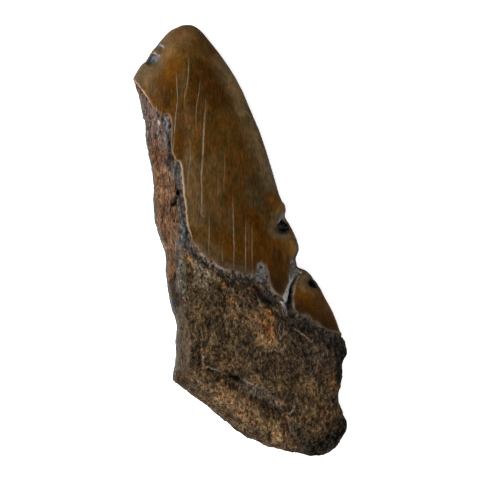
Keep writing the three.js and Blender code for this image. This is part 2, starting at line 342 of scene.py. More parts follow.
# %% Smooth the broad faces and hold the edges
NO_EDGE = 99.0  # stands for far away
TIP_SIDE = (34, 38)  # where, along the tooth, the other side of the tip takes over from the break
FACE_SMOOTHINGS = 24
LAST_SMOOTHINGS = 4


def from_edge_of(places):
    """Distance to the sharp edge: the cutting side, and the other side of the tip above the break."""
    tip_side = smoothstep(*TIP_SIDE, places[:, 1])
    across_tip = near_line(places, broken_outline)[0] + (1 - tip_side) * NO_EDGE
    return np.minimum(near_line(places, cutting_side)[0], across_tip)


places = skin_points(tooth)[0]
from_edge = from_edge_of(places)


def set_group(thing, name, weights):
    """A vertex group from an array of weights, in steps of a hundredth."""
    group = thing.vertex_groups.new(name=name)
    for step in np.unique(np.round(weights, 2)):
        if step > 0:
            members = np.nonzero(np.round(weights, 2) == step)[0]
            group.add(members.tolist(), float(step), "REPLACE")


def smooth(thing, name, weights, repeats):
    """Smooth a mesh by the weights of a new vertex group."""
    set_group(thing, name, weights)
    apply_modifier(thing, "SMOOTH", factor=0.5, iterations=repeats, vertex_group=name)


set_group(tooth, "former", smoothstep(0.4, 1.6, from_edge))
nearest = {"wrap_method": "NEAREST_SURFACEPOINT", "vertex_group": "former"}
apply_modifier(tooth, "SHRINKWRAP", target=former, **nearest)
bpy.data.objects.remove(former)
smooth(tooth, "broad faces", smoothstep(0.8, 4.5, from_edge), FACE_SMOOTHINGS)
smooth(tooth, "all over", np.ones(len(places)), LAST_SMOOTHINGS)
print("smoothed", FACE_SMOOTHINGS, "times on the faces and", LAST_SMOOTHINGS, "all over")

# %% [markdown]
# Remeshing and smoothing round off every rim, and the tooth comes out a few tenths of a millimetre too
# narrow. The outline was measured before, so the loss is known at each point of it, and the rim is pushed
# out again by that much. A real tooth also has swells on its outline that the solid leaves out, and those
# are added in the same pass.

# %% Give back what the smoothing took from the rim
RIM_REACH = 2.2  # mm
VOXEL_LOSS = 0.12  # what remeshing had taken before the outline was measured
RIM_MOST = 0.8
RIM_EVEN = 9  # the outline points that each loss is averaged over
RIM_SWELLS = [
    # line on the rim, reach and height in mm, where the rim of the real tooth stands a little prouder
    ([(15.4, -8.2), (17.4, -8.7)], 1.8, 0.6),
    ([(10.7, 8.6), (11.3, 7.3)], 1.3, 0.35),
    ([(-26.4, 38.6), (-25.6, 35), (-24.4, 31)], 2.6, 0.5),
    ([(25.9, -24.8), (26.3, -28)], 2.4, 0.6),
    ([(-1.4, -47.4), (1.4, -49)], 2.4, 0.4),
    ([(-26.2, 41.4), (-24.8, 43.4)], 2.0, 0.35),
    ([(-22.2, 47), (-17.6, 52)], 2.6, 0.35),
    ([(25.8, -46.6), (23.6, -50.6), (18, -53.6)], 2.6, 0.4),
]

placed, normals = skin_points(tooth)
rim_loss = np.zeros(len(placed))
for old_line, pick in ((cutting_side, np.max), (broken_outline, np.min)):
    new_line = np.array(outline_side(placed, pick))
    lost = np.minimum(near_line(new_line, old_line)[0] + VOXEL_LOSS, RIM_MOST)
    lost = np.pad(lost, RIM_EVEN // 2, mode="edge")
    lost = np.convolve(lost, np.full(RIM_EVEN, 1 / RIM_EVEN), mode="valid")
    lengths = np.linalg.norm(np.diff(new_line, axis=0), axis=1)
    stops = np.concatenate([[0], np.cumsum(lengths)]) / lengths.sum()
    gap, _, share = near_line(placed, new_line)
    rim_loss = np.maximum(rim_loss, np.interp(share, stops, lost) * smoothstep(RIM_REACH, 0.3, gap))
for line, reach, height in RIM_SWELLS:
    rim_loss += height * smoothstep(reach, 0, near_line(placed, line)[0])
rim_loss *= np.linalg.norm(normals[:, :2], axis=1)
set_group(tooth, "rim", rim_loss / rim_loss.max())
apply_modifier(tooth, "DISPLACE", strength=rim_loss.max() * MM, mid_level=0, vertex_group="rim")
print("rim moved out by up to", round(float(rim_loss.max()), 2), "mm")


# %% Spare the side that lies on the table
def select_faces(thing, wanted):
    """Select the faces whose middles and normals a test wants, for the next operator in edit mode."""
    count = len(thing.data.polygons)
    middles, facing = np.empty(count * 3), np.empty(count * 3)
    thing.data.polygons.foreach_get("center", middles)
    thing.data.polygon_normals.foreach_get("vector", facing)
    chosen = wanted(middles.reshape(-1, 3) / MM, facing.reshape(-1, 3))
    thing.data.vertices.foreach_set("select", np.zeros(len(thing.data.vertices), bool))
    thing.data.edges.foreach_set("select", np.zeros(len(thing.data.edges), bool))
    thing.data.polygons.foreach_set("select", chosen)
    return int(chosen.sum())


def on_outer_face(middles, facing):
    """The faces that look down at the table, apart from the edge."""
    return (facing[:, 2] < -0.3) & (middles[:, 2] < middle_height(middles[:, 1]) - 1.0)


OUTER_SHARE = 0.30  # of those faces that are kept
make_active(tooth)
bpy.context.tool_settings.mesh_select_mode = (False, False, True)
picked = select_faces(tooth, on_outer_face)
bpy.ops.object.mode_set(mode="EDIT")
bpy.ops.mesh.decimate(ratio=OUTER_SHARE)
bpy.ops.object.mode_set(mode="OBJECT")
print("thinned", picked, "faces; now", len(tooth.data.vertices), "points")

# %% [markdown]
# ## Lines drawn on the tooth
#
# The enamel of the blade ends in an irregular line: down the broken side, round a spike-shaped notch, and
# up to the notch in the cutting edge. A third number on each point says how brightly the broken lip of
# enamel shows there. Old enamel breaks to a cream line, and the lip is also painted brighter where its
# border faces the light, as a painted highlight. The cusplet has its own border. On the outer face the
# enamel reaches a little lower.

# %% Enamel borders
BLADE_BORDER = [
    (-27.1, 40, 1), (-26.6, 39.7, 1), (-24.4, 37, 1), (-23, 34.8, 0.9), (-21.8, 32.9, 0.6),
    (-21.1, 32.1, 0.4), (-20.2, 31.6, 0.2), (-19.3, 30.9, 0.2), (-18.6, 31, 0.2), (-18, 31.2, 0.3),
    (-17.5, 30.6, 0.6), (-17.2, 29.2, 0.5), (-17.1, 26.8, 0.5), (-17.3, 24.3, 0.6), (-17.2, 23.2, 0.5),
    (-17, 21.8, 0.7), (-16.5, 20.6, 0.8), (-16.2, 20, 0.5), (-15.8, 19.5, 0.4), (-15.1, 19.5, 0.8),
    (-14.8, 18.9, 1), (-14.6, 17.5, 1), (-14.4, 15.3, 1), (-14.2, 13.1, 1), (-14, 11, 1),
    (-13.6, 8.8, 1), (-13.4, 6.3, 1), (-13.3, 4.6, 1), (-12.9, 2.9, 1), (-12.4, 1.5, 0.9),
    (-12.1, 0.5, 0.8), (-11.8, -0.4, 0.5), (-10.9, -1.6, 0.5), (-10, -2.7, 0.5), (-8.7, -3.8, 0.4),
    (-8, -4.5, 0.3), (-6.5, -5.3, 0.3), (-5.4, -6.2, 0.3), (-3.8, -7, 0.2), (-1.7, -7.2, 0.3),
    (-0.2, -7.8, 0.3), (1, -8.1, 0.3), (2.6, -8.3, 0.4), (3.4, -8.8, 0.5), (4, -8.6, 0.4),
    (4.5, -6, 0.3), (5.2, -5.4, 0.3), (6.3, -6.3, 0.5), (6.9, -8.3, 0.7), (7.2, -10.6, 0.8),
    (7.8, -12.2, 0.9), (8.9, -13.4, 0.9), (10.1, -14, 0.7), (11, -13.6, 0.3), (11.6, -12.2, 0.3),
    (12.4, -10.2, 0.3), (12.2, -8.8, 0.2), (12.5, -7.2, 0.2), (12.5, -6, 0.2), (13.1, -4.6, 0.2),
    (13.7, -3.8, 0.2), (14.6, -2.8, 0.1),
]
BLADE_BEYOND = [(24, -1), (24, 66), (-40, 66), (-40, 42)]

CUSPLET_BORDER = [
    (15.6, -7.4, 0.1), (15, -8.8, 0.1), (14, -10, 0.3), (13.4, -11.8, 0.9), (13.1, -13.2, 1),
    (13, -14.5, 0.7), (13, -15.8, 1), (13.3, -17.2, 0.8), (14.6, -18.6, 0.3), (15.8, -18.4, 0.2),
    (17.2, -18.9, 0.3), (17.9, -20.1, 0.4), (19.6, -20.7, 0.3), (20.4, -21.7, 0.3), (22.2, -22.6, 0.5),
    (24.5, -23.3, 0.6),
]
CUSPLET_BEYOND = [(34, -24), (34, -6), (18, -6)]

OUTER_BORDER = [
    (25.5, -23.5, 0.4), (21, -25.4, 0.3), (14, -24.2, 0.3), (5, -21.4, 0.4), (-4, -18.8, 0.3),
    (-12, -16.6, 0.3), (-26, -14.5, 0.3),
]
OUTER_BEYOND = [(-60, -14), (-60, 66), (50, 66), (50, -23)]

# %% Cracks in the enamel
# Each crack is its line, its width in mm and how bright it is.
CRACKS = [
    ([(-15.9, 41.6), (-15.8, 38.6), (-15.6, 36.5), (-15.6, 34.5), (-15.9, 32.1), (-16.1, 30.4),
      (-16.2, 28), (-16.4, 25.6), (-16.5, 23.9), (-16.7, 22.4)], 0.3, 0.75),
    ([(-12.8, 45.4), (-12.9, 42), (-13.2, 38.6), (-13.7, 36.5), (-13.8, 35.6), (-13.7, 33.6)], 0.3, 0.65),
    ([(-9.8, 40.2), (-10.2, 37), (-10.9, 32.8), (-11, 29.5), (-10.8, 26.2)], 0.26, 0.6),
    ([(-8.6, 34.8), (-9, 27.8), (-9.2, 22.5), (-9.5, 17.7), (-9.7, 15.3), (-9.5, 12.9),
      (-9.5, 8.2), (-9.7, 6.5), (-9.2, 5.8)], 0.5, 0.9),
    ([(-12.3, 22.4), (-12.4, 19.3), (-12.9, 16.1), (-13, 12.2)], 0.4, 0.5),
    ([(-3.8, 22), (-3.9, 16.9), (-4, 12)], 0.26, 0.5),
    ([(-7.7, 5.8), (-7.7, -3.6)], 0.32, 0.6),
    ([(-5.4, 13.6), (-5.5, 10.8)], 0.3, 0.4),
    ([(-2.7, 8.4), (-2.7, 3.8)], 0.3, 0.35),
    ([(-4.4, -1.4), (-4.4, -6.4)], 0.3, 0.5),
    ([(-1.8, 10.4), (-1.7, 5), (-1.6, 1.8), (-1.5, -2.5), (-1.6, -7)], 0.36, 0.95),
    ([(1.5, 5), (1.4, 1), (1.4, -8.4)], 0.32, 0.85),
    ([(3, 4), (3.1, -8.6)], 0.28, 0.75),
    ([(-20.9, 33.4), (-20.8, 31.9)], 0.3, 0.7),
    ([(1, 32.4), (1.9, 31.9), (2.5, 31)], 0.28, 0.6),
    ([(3, 30.2), (3.3, 28.6), (3.5, 27.4)], 0.26, 0.4),
    ([(2, 33.8), (2.4, 33.2)], 0.3, 0.5),
]

# %% Areas of bare grey dentine: beside the cusplet, and in the notch under the blade
GREY_AREAS = [
    [(14.6, -2.8), (13.7, -3.8), (13.1, -4.6), (12.5, -6), (12.5, -7.2), (12.2, -8.8), (12.4, -10.2),
     (11.6, -12.2), (11, -13.6), (11.6, -15.2), (12.6, -14), (12.9, -12), (13.2, -10.6), (14.2, -9),
     (15.4, -7.8), (14.8, -5.6)],
    [(3.4, -9), (4.4, -7.0), (4.7, -5.9), (5.2, -5.5), (6.2, -6.4), (6.8, -8.3), (6.9, -9.6), (5.6, -10.2)],
    [(10, -14.6), (11.4, -15), (12.0, -16.4), (12.3, -18.4), (11.8, -18.6), (11.2, -17)],
]

# %% Furrows carved into root and break: line, width and depth in mm
FURROWS = [
    ([(-15.3, 12.4), (-16, 10.4), (-17, 8.9), (-17.9, 8.7)], 0.6, 1.0),
    ([(-16.4, 9), (-16.4, 7), (-16.6, 4.6)], 0.34, 0.7),
    ([(-17.4, 8.8), (-17.6, 6.6)], 0.3, 0.4),
    ([(-20.6, 14.6), (-19.4, 13.4), (-18.2, 13.9), (-16.8, 13.2)], 0.3, 0.35),
    ([(-19.4, 9.4), (-19.0, 6.2)], 0.26, 0.3),
    ([(-18.0, 2.8), (-17.4, -0.4), (-17.2, -2.2)], 0.28, 0.35),
    ([(-16.7, -3.6), (-16.4, -6.4), (-16.6, -9.8)], 0.36, 0.7),
    ([(-15.8, -3.0), (-15.7, -7.2)], 0.3, 0.4),
    ([(-17.8, 24), (-17.9, 21.2), (-17.4, 19.4), (-16.6, 18.6)], 0.5, 0.6),
    ([(-16.4, -0.6), (-16.6, -4), (-16.2, -8), (-16.6, -11)], 0.4, 0.6),
    ([(-19.8, 31.4), (-18.9, 29.6), (-18.6, 27.4)], 0.34, 0.35),
    ([(-8.2, -32.1), (-6.2, -32.6), (-3.2, -33.4)], 0.3, 0.35),
    ([(-2.8, -33.5), (-1.8, -33.8), (-0.7, -34.3), (0.5, -34.8)], 0.6, 0.9),
    ([(8.2, -39.2), (9.2, -41.6), (10.6, -43.9)], 0.5, 0.4),
    ([(7, -47.6), (7.3, -50.6)], 0.7, 0.5),
    ([(14.6, -8.9), (13.8, -9.6), (13, -10.9), (12.65, -13), (12.5, -15.4), (12.6, -18.4)], 0.55, 0.75),
    ([(-10, -3.6), (-9, -4.9), (-7.2, -6.6), (-5.4, -7.9), (-2, -8.8), (1.6, -9.4)], 0.7, 0.3),
    ([(5.4, -13.4), (7, -14.6), (9, -15.4)], 1.6, 0.5),
]

# %% Thin pale ridges on the root: line, width in mm and how bright they are
VEINS = [
    # The pale line of the next two veins, along the top of the deep crease below them, is partly a low ridge
    # and partly a painted highlight on the crease's lip.
    ([(-9.2, -28), (-9.1, -29.6), (-8.9, -31.2)], 0.4, 0.8),
    ([(-9.2, -31.5), (-6.6, -31.7), (-4.6, -32.6), (-3.2, -33.1)], 0.36, 0.7),
    ([(0.2, -34.2), (1.6, -34.9), (3.4, -35.9), (5.4, -37)], 0.34, 0.6),
    ([(5, -36.8), (6.6, -38.2), (8.2, -38.8), (9.6, -41), (11.3, -42.8)], 0.45, 0.4),
    ([(11.3, -42.8), (12.6, -43.3), (13.4, -42), (14, -40.2)], 0.45, 0.6),
    ([(11.4, -43.4), (12.4, -46.2), (12.6, -49)], 0.4, 0.45),
    ([(-12.6, -33.2), (-10.4, -35), (-8.2, -36.8)], 0.36, 0.5),
    ([(-11.6, -30.6), (-10.2, -31.8)], 0.3, 0.35),
    ([(13.1, -21.2), (14.8, -22.6), (16.6, -24), (18.4, -25.6)], 0.32, 0.8),
    ([(9.9, -14.5), (10.6, -16.4), (11.2, -18.6)], 0.36, 0.7),
    ([(10.9, -19.4), (11.4, -20.8), (11.1, -22.8), (10.2, -24.2), (9.7, -22.6), (10.2, -20.4),
      (10.9, -19.4)], 0.4, 0.6),
    ([(4.2, -12.6), (4.8, -14.4), (4.9, -16.2), (4.2, -18)], 0.34, 0.5),
    ([(-2.8, -12.2), (-1.6, -11.6), (-0.8, -12.6)], 0.36, 0.5),
    ([(5.4, -26.8), (7.4, -27.6), (9.4, -26.8), (10, -25)], 0.5, 0.6),
    ([(15, -33.8), (17.6, -35.6), (19.2, -37.8)], 0.3, 0.3),
    ([(22, -33.6), (23.4, -36.6)], 0.3, 0.3),
    ([(-12, -5.2), (-10.4, -8.2), (-9.4, -11.6)], 0.5, 0.35),
    ([(-10.2, -5), (-8.4, -8.4), (-7.6, -10.4)], 0.5, 0.35),
]

print(len(CRACKS), "cracks,", len(FURROWS), "furrows and", len(VEINS), "veins")

# %% [markdown]
# ## Finer mesh where the detail is
#
# Hairline cracks and the lip of the enamel are narrower than the skin's step. The faces along those lines
# are picked by their place and subdivided once, so the detail gets real shape without a heavy mesh.

# %% Subdivide along the lines
FINE_REACH = 0.6  # mm


def along_fine_lines(middles, _facing):
    """The faces of the inner side that lie beside a drawn line."""
    above = middles[:, 2] > middle_height(middles[:, 1])
    chosen = np.zeros(len(middles), bool)
    for line in [BLADE_BORDER, CUSPLET_BORDER] + [drawn[0] for drawn in CRACKS + FURROWS + VEINS]:
        chosen |= near_line(middles, line)[0] < FINE_REACH
    return chosen & above


make_active(tooth)
bpy.context.tool_settings.mesh_select_mode = (False, False, True)
picked = select_faces(tooth, along_fine_lines)
bpy.ops.object.mode_set(mode="EDIT")
bpy.ops.mesh.subdivide(number_cuts=1, smoothness=0)
bpy.ops.object.mode_set(mode="OBJECT")
print("refined", picked, "faces; now", len(tooth.data.vertices), "points")

# %% [markdown]
# ## Which skin each point has
#
# Signed distances to the borders say it: positive inside the enamel, negative outside. Height alone can't
# tell the inner face from the outer one near the thin edge, so the way a point faces counts as well.

# %% Depth in the enamel, and the broken side
FACING_LIFT = 8.0  # mm that a point facing straight up is counted higher by

places, normals = skin_points(tooth)
x, y, z = places.T
is_inner = z + FACING_LIFT * normals[:, 2] > middle_height(y)
ragged = 0.16 * wobble(places, 1.6, octaves=3, start=1)

blade_depth = area_depth(places, BLADE_BORDER, BLADE_BEYOND)
cusplet_depth = area_depth(places, CUSPLET_BORDER, CUSPLET_BEYOND)
outer_depth = area_depth(places, OUTER_BORDER, OUTER_BEYOND)

# The broken side faces away from the cutting edge and lies beyond the blade's border. A ridge parts it from
# the root.
BREAK_TOP = 41
BREAK_RIDGE = [
    (-26.8, 40.4), (-24, 36.8), (-21.8, 33), (-19.8, 30), (-18.6, 26.2), (-17.8, 22.5), (-16.9, 18.8),
    (-16.2, 13.8), (-15.6, 8.8), (-15.1, -1.2), (-14.9, -11.2), (-14.2, -16.2), (-13, -21.2),
    (-12.5, -26.2), (-12.6, -30.5), (-14.2, -36),
]
ridge_x = np.interp(-y, [-along for _, along in BREAK_RIDGE], [across for across, _ in BREAK_RIDGE])
faces_break = smoothstep(0.25, 0.5, -normals[:, 0]) * (y < BREAK_TOP)
faces_break *= smoothstep(-0.9, 0.2, ridge_x + 0.6 - x)
beside_blade = is_inner * smoothstep(0.1, -0.2, blade_depth + ragged)
beside_blade *= smoothstep(-3.4, -2.2, y + 3 * ragged) * smoothstep(-9.8, -10.8, x)
under_blade = is_inner & (normals[:, 2] > 0.1)
faces_break *= np.where(under_blade, smoothstep(0.15, -0.15, blade_depth + ragged), 1)
break_side = np.maximum(faces_break, beside_blade)

OFF_ENAMEL = -0.4  # mm, the depth that the broken side has at most
DEPTH_MOST = 6  # mm, past which a depth makes no difference

enamel = np.where(is_inner, np.maximum(blade_depth, cusplet_depth), outer_depth)
enamel = np.where(break_side > 0.5, np.minimum(enamel, OFF_ENAMEL), enamel) + ragged
enamel = np.clip(enamel, -DEPTH_MOST, DEPTH_MOST)
print("enamel covers", round(100 * float((enamel > 0).mean())), "% of the points")

# %% [markdown]
# ## Carving
#
# Each pass lowers the skin along its normal by a depth that its weights give, in the order that nature did
# it: the step under the enamel, the fibrous root, the torn fibres of the break, then chips, furrows, veins
# and cracks, and last the polished swell of the enamel. All of them cut inwards. A vein stands proud because
# the skin beside it is lowered. In the end every point is held within the solid's own box.


# %% One pass of the carving tool
def carve(thing, name, depths):
    """Lower the skin by depths in mm along its normals, with a vertex group and the Displace modifier."""
    deepest = float(depths.max())
    set_group(thing, name, depths / deepest)
    apply_modifier(thing, "DISPLACE", strength=-deepest * MM, mid_level=0, vertex_group=name)
    print(f"carved {name}: up to {deepest:.2f} mm")


bare = smoothstep(0.1, -0.25, enamel)
root = bare * (1 - break_side)

# %% The step under the enamel
STEP_DEPTH = 0.5  # mm
STEP_FADE = 2.4  # mm from the border over which most of it fades
carve(tooth, "enamel step", STEP_DEPTH * bare * np.exp(-np.clip(-enamel, 0, None) / STEP_FADE))

# %% Root: lumps, fibres and pores
LUMP_DEPTH = 0.40
FIBRE_DEPTH = 0.20
PORE_DEPTH = 0.40
PORE_SPACING = 1.7  # mm
PORE_RADIUS = 0.26  # as a share of the spacing
PORE_START = 3.3

lumps = wobble(places, 3.4, stretch=(1, 1.2, 1), octaves=3, start=2)
fibres = wobble(places, 0.62, stretch=(0.9, 1.5, 1), octaves=2, start=3)
carve(tooth, "root lumps", root * LUMP_DEPTH * np.clip(0.5 - 0.9 * lumps, 0, 1.2))
carve(tooth, "root fibres", root * FIBRE_DEPTH * np.clip(0.5 - fibres, 0, 1.2))


def pores(places, spacing, radius, start):
    """Round pores at the cells of a Voronoi pattern, from 0 between them to 1 at their middles."""
    cells = places / spacing + start
    nearest = np.array([noise.voronoi(Vector(p))[0][0] for p in cells])
    return smoothstep(radius, radius * 0.3, nearest)


pore_patches = smoothstep(-0.1, 0.35, wobble(places, 7, octaves=2, start=4))
root_pores = pores(places, PORE_SPACING, PORE_RADIUS, PORE_START) * pore_patches
carve(tooth, "root pores", root * PORE_DEPTH * root_pores)

# %% Broken side: torn fibres and ledges
TEAR_DEPTH = 0.32
LEDGE_DEPTH = 0.4

tears = wobble(places, 0.8, stretch=(0.8, 2.0, 0.8), octaves=4, start=5)
chunks = wobble(places, 2.4, stretch=(0.8, 1.8, 0.8), octaves=2, start=6)
ledges = smoothstep(-0.05, 0.12, chunks)
rim_held = smoothstep(0.1, 1.2, near_line(places, broken_outline)[0])
torn = TEAR_DEPTH * np.clip(0.5 - tears, 0, 1.2) + LEDGE_DEPTH * ledges * rim_held
carve(tooth, "torn fibres", break_side * torn)

# %% Chips: where the glassy enamel took a knock, it left a shell-shaped hollow
EDGE_CHIP = [
    (10.5, 5.3), (9.9, 4.6), (9.5, 3.7), (9.5, 2.6), (10.3, 2.1), (11.6, 2.3), (12.6, 2.5),
    (13.8, 2.4), (13.4, 3.3), (12.5, 4), (11.5, 4.4), (10.9, 4.8),
]
CUSPLET_CHIP = [
    (16.7, -10.7), (17.2, -9.9), (18.2, -9.7), (19.4, -10.6), (20, -11.6), (18.9, -12), (17.6, -11.7),
]
TIP_FLAKE = [
    (-22.8, 43.8), (-24.2, 44.6), (-22.6, 47.1), (-21.3, 46.9), (-20.1, 46.1), (-20.6, 44.7), (-21.7, 44),
]
SMALL_FLAKE = [(-21.9, 47.6), (-20.8, 49.2), (-19.9, 48.9), (-18.9, 48.2), (-20.2, 47.9)]
CHIP_DEPTH = 0.85
FLAKE_DEPTH = 0.3
NO_CHIP = -9  # mm, far outside any chip

chip = np.maximum(depth_in(places, EDGE_CHIP), depth_in(places, CUSPLET_CHIP))
flake = np.maximum(depth_in(places, TIP_FLAKE), depth_in(places, SMALL_FLAKE))
chip, flake = (np.where(is_inner, field, NO_CHIP) for field in (chip, flake))
hollow = CHIP_DEPTH * smoothstep(-0.15, 1.1, chip) + FLAKE_DEPTH * smoothstep(-0.1, 0.3, flake)
carve(tooth, "chips", hollow)

# %% Furrows
furrow = np.zeros(len(places))
for line, width, depth in FURROWS:
    gap, _, share = near_line(places, line)
    groove = depth * pointed(share) * np.exp(-((gap / (0.55 * width)) ** 2))
    furrow = np.maximum(furrow, groove * is_inner)
carve(tooth, "furrows", furrow)

# %% Veins: the skin is lowered a little on both sides of each
VEIN_HEIGHT = 0.25
VEIN_REACH = 1.5

vein = np.zeros(len(places))
beside_vein = np.zeros(len(places))
meander = 0.22 * wobble(places, 1.3, octaves=3, start=10)
for line, width, bright in VEINS:
    gap, offset, share = near_line(places, line)
    ridge = bright * pointed(share) * np.exp(-(((offset + meander) / (0.6 * width)) ** 2))
    vein = np.maximum(vein, ridge * (gap < VEIN_REACH))
    beside_vein = np.maximum(beside_vein, bright * smoothstep(VEIN_REACH, 0.4, gap))
vein *= is_inner
carve(tooth, "beside veins", root * is_inner * VEIN_HEIGHT * beside_vein * (1 - np.clip(vein, 0, 1)))

# %% Cracks
CRACK_DEPTH = 0.12
OFFSET_MOST = 6  # half widths of a crack, past which an offset makes no difference

crack_offset = np.full(len(places), 1.0)
crack_bright = np.zeros(len(places))
nearest_crack = np.full(len(places), FAR)
sway = 0.07 * wobble(places, 2.2, stretch=(1, 1.6, 1), octaves=4, start=7)
for line, width, bright in CRACKS:
    gap, offset, share = near_line(places, line)
    closer = (gap < nearest_crack) & is_inner
    nearest_crack[closer] = gap[closer]
    strength = bright * pointed(share, tip=0.02, power=0.4) * smoothstep(1.3, 0.7, gap)
    crack_offset[closer] = ((offset + sway) / (0.5 * width))[closer]
    crack_bright[closer] = strength[closer]
crack_offset = np.clip(crack_offset, -OFFSET_MOST, OFFSET_MOST)
in_crack = np.exp(-(crack_offset ** 2)) * crack_bright * smoothstep(-0.1, 0.1, enamel)
carve(tooth, "cracks", CRACK_DEPTH * in_crack)

# %% Enamel: a slight swell, as polished but uneven stone has
SWELL_DEPTH = 0.09

swell = wobble(places, 6.5, stretch=(0.8, 1.8, 1), octaves=2, start=8)
carve(tooth, "enamel swell", SWELL_DEPTH * (1 - bare) * np.clip(0.5 + swell, 0, 1))

# %% Keep the tooth inside the solid's box
low, high = np.array(solid_low) / MM, np.array(solid_high) / MM
placed = np.clip(skin_points(tooth)[0], low, high)
tooth.data.vertices.foreach_set("co", (placed * MM).ravel())
tooth.data.update()
triangles = sum(len(p.vertices) - 2 for p in tooth.data.polygons)
print("triangles:", triangles)

# %% [markdown]
# ## Stains, and painted light
#
# A fossil takes its colour from minerals in the ground, so it comes in soft, separate stains. They are laid
# on one by one, like thin washes of paint: a wash is a line, with a reach in millimetres, a pigment and a
# strength. Some washes are painted light rather than stains: painted shade in furrows, cracks and a flake
# and on sides turned from the light, and painted sheen and highlights on the enamel. Each skin has its own
# washes, so that none runs over the border of the enamel, and the chips and the bare grey dentine have
# theirs. The washes are stored as one colour on each point, with the paint's cover in its alpha, and the
# material lays its grain over them.

# %% Pigments, as sRGB values from 0 to 255
PIGMENTS = {
    # The second pigment on the next line is used only for painted sheen on the tip.
    "cream": (92, 67, 39), "pale_sheen": (88, 71, 50), "sand": (120, 96, 64), "straw": (108, 96, 78),
    "ochre": (126, 88, 38), "amber": (90, 54, 10), "fox": (67, 39, 11), "umber": (54, 31, 5),
    # The third pigment on the next line, a pale brown, is used only for painted sheen and highlights on the
    # enamel.
    "olive": (96, 78, 50), "moss": (64, 56, 38), "painted_sheen": (100, 80, 54), "mauve": (96, 80, 68),
    "rust": (122, 82, 46), "russet": (96, 58, 30), "brick": (92, 64, 48), "bark": (98, 70, 48),
    "slate": (82, 81, 78), "ash": (104, 106, 112), "pearl": (150, 142, 136), "lilac": (92, 78, 73),
    "soot": (26, 20, 15), "ink": (17, 18, 22), "peat": (40, 33, 28), "stone": (65, 56, 46),
    "plum": (54, 42, 34), "honey": (116, 80, 34), "bottle": (44, 42, 30), "wheat": (146, 116, 78),
    "chalk": (226, 222, 214), "night": (34, 38, 56), "fawn": (114, 86, 60), "dusk": (82, 67, 60),
    # The last pigment on the next line, a near-black, is used only for painted shade.
    "loam": (54, 42, 30), "garnet": (58, 26, 18), "flame": (150, 86, 38), "painted_shade": (13, 10, 8),
    "toffee": (88, 60, 27), "tortoise": (80, 45, 2), "mahogany": (74, 40, 12),
}


def srgb(red, green, blue):
    """A colour from 0 to 255 values, as the shader wants it."""
    def linear(v):
        v = v / 255
        return v / 12.92 if v <= 0.04045 else ((v + 0.055) / 1.055) ** 2.4
    return (linear(red), linear(green), linear(blue), 1)


print(len(PIGMENTS), "pigments")

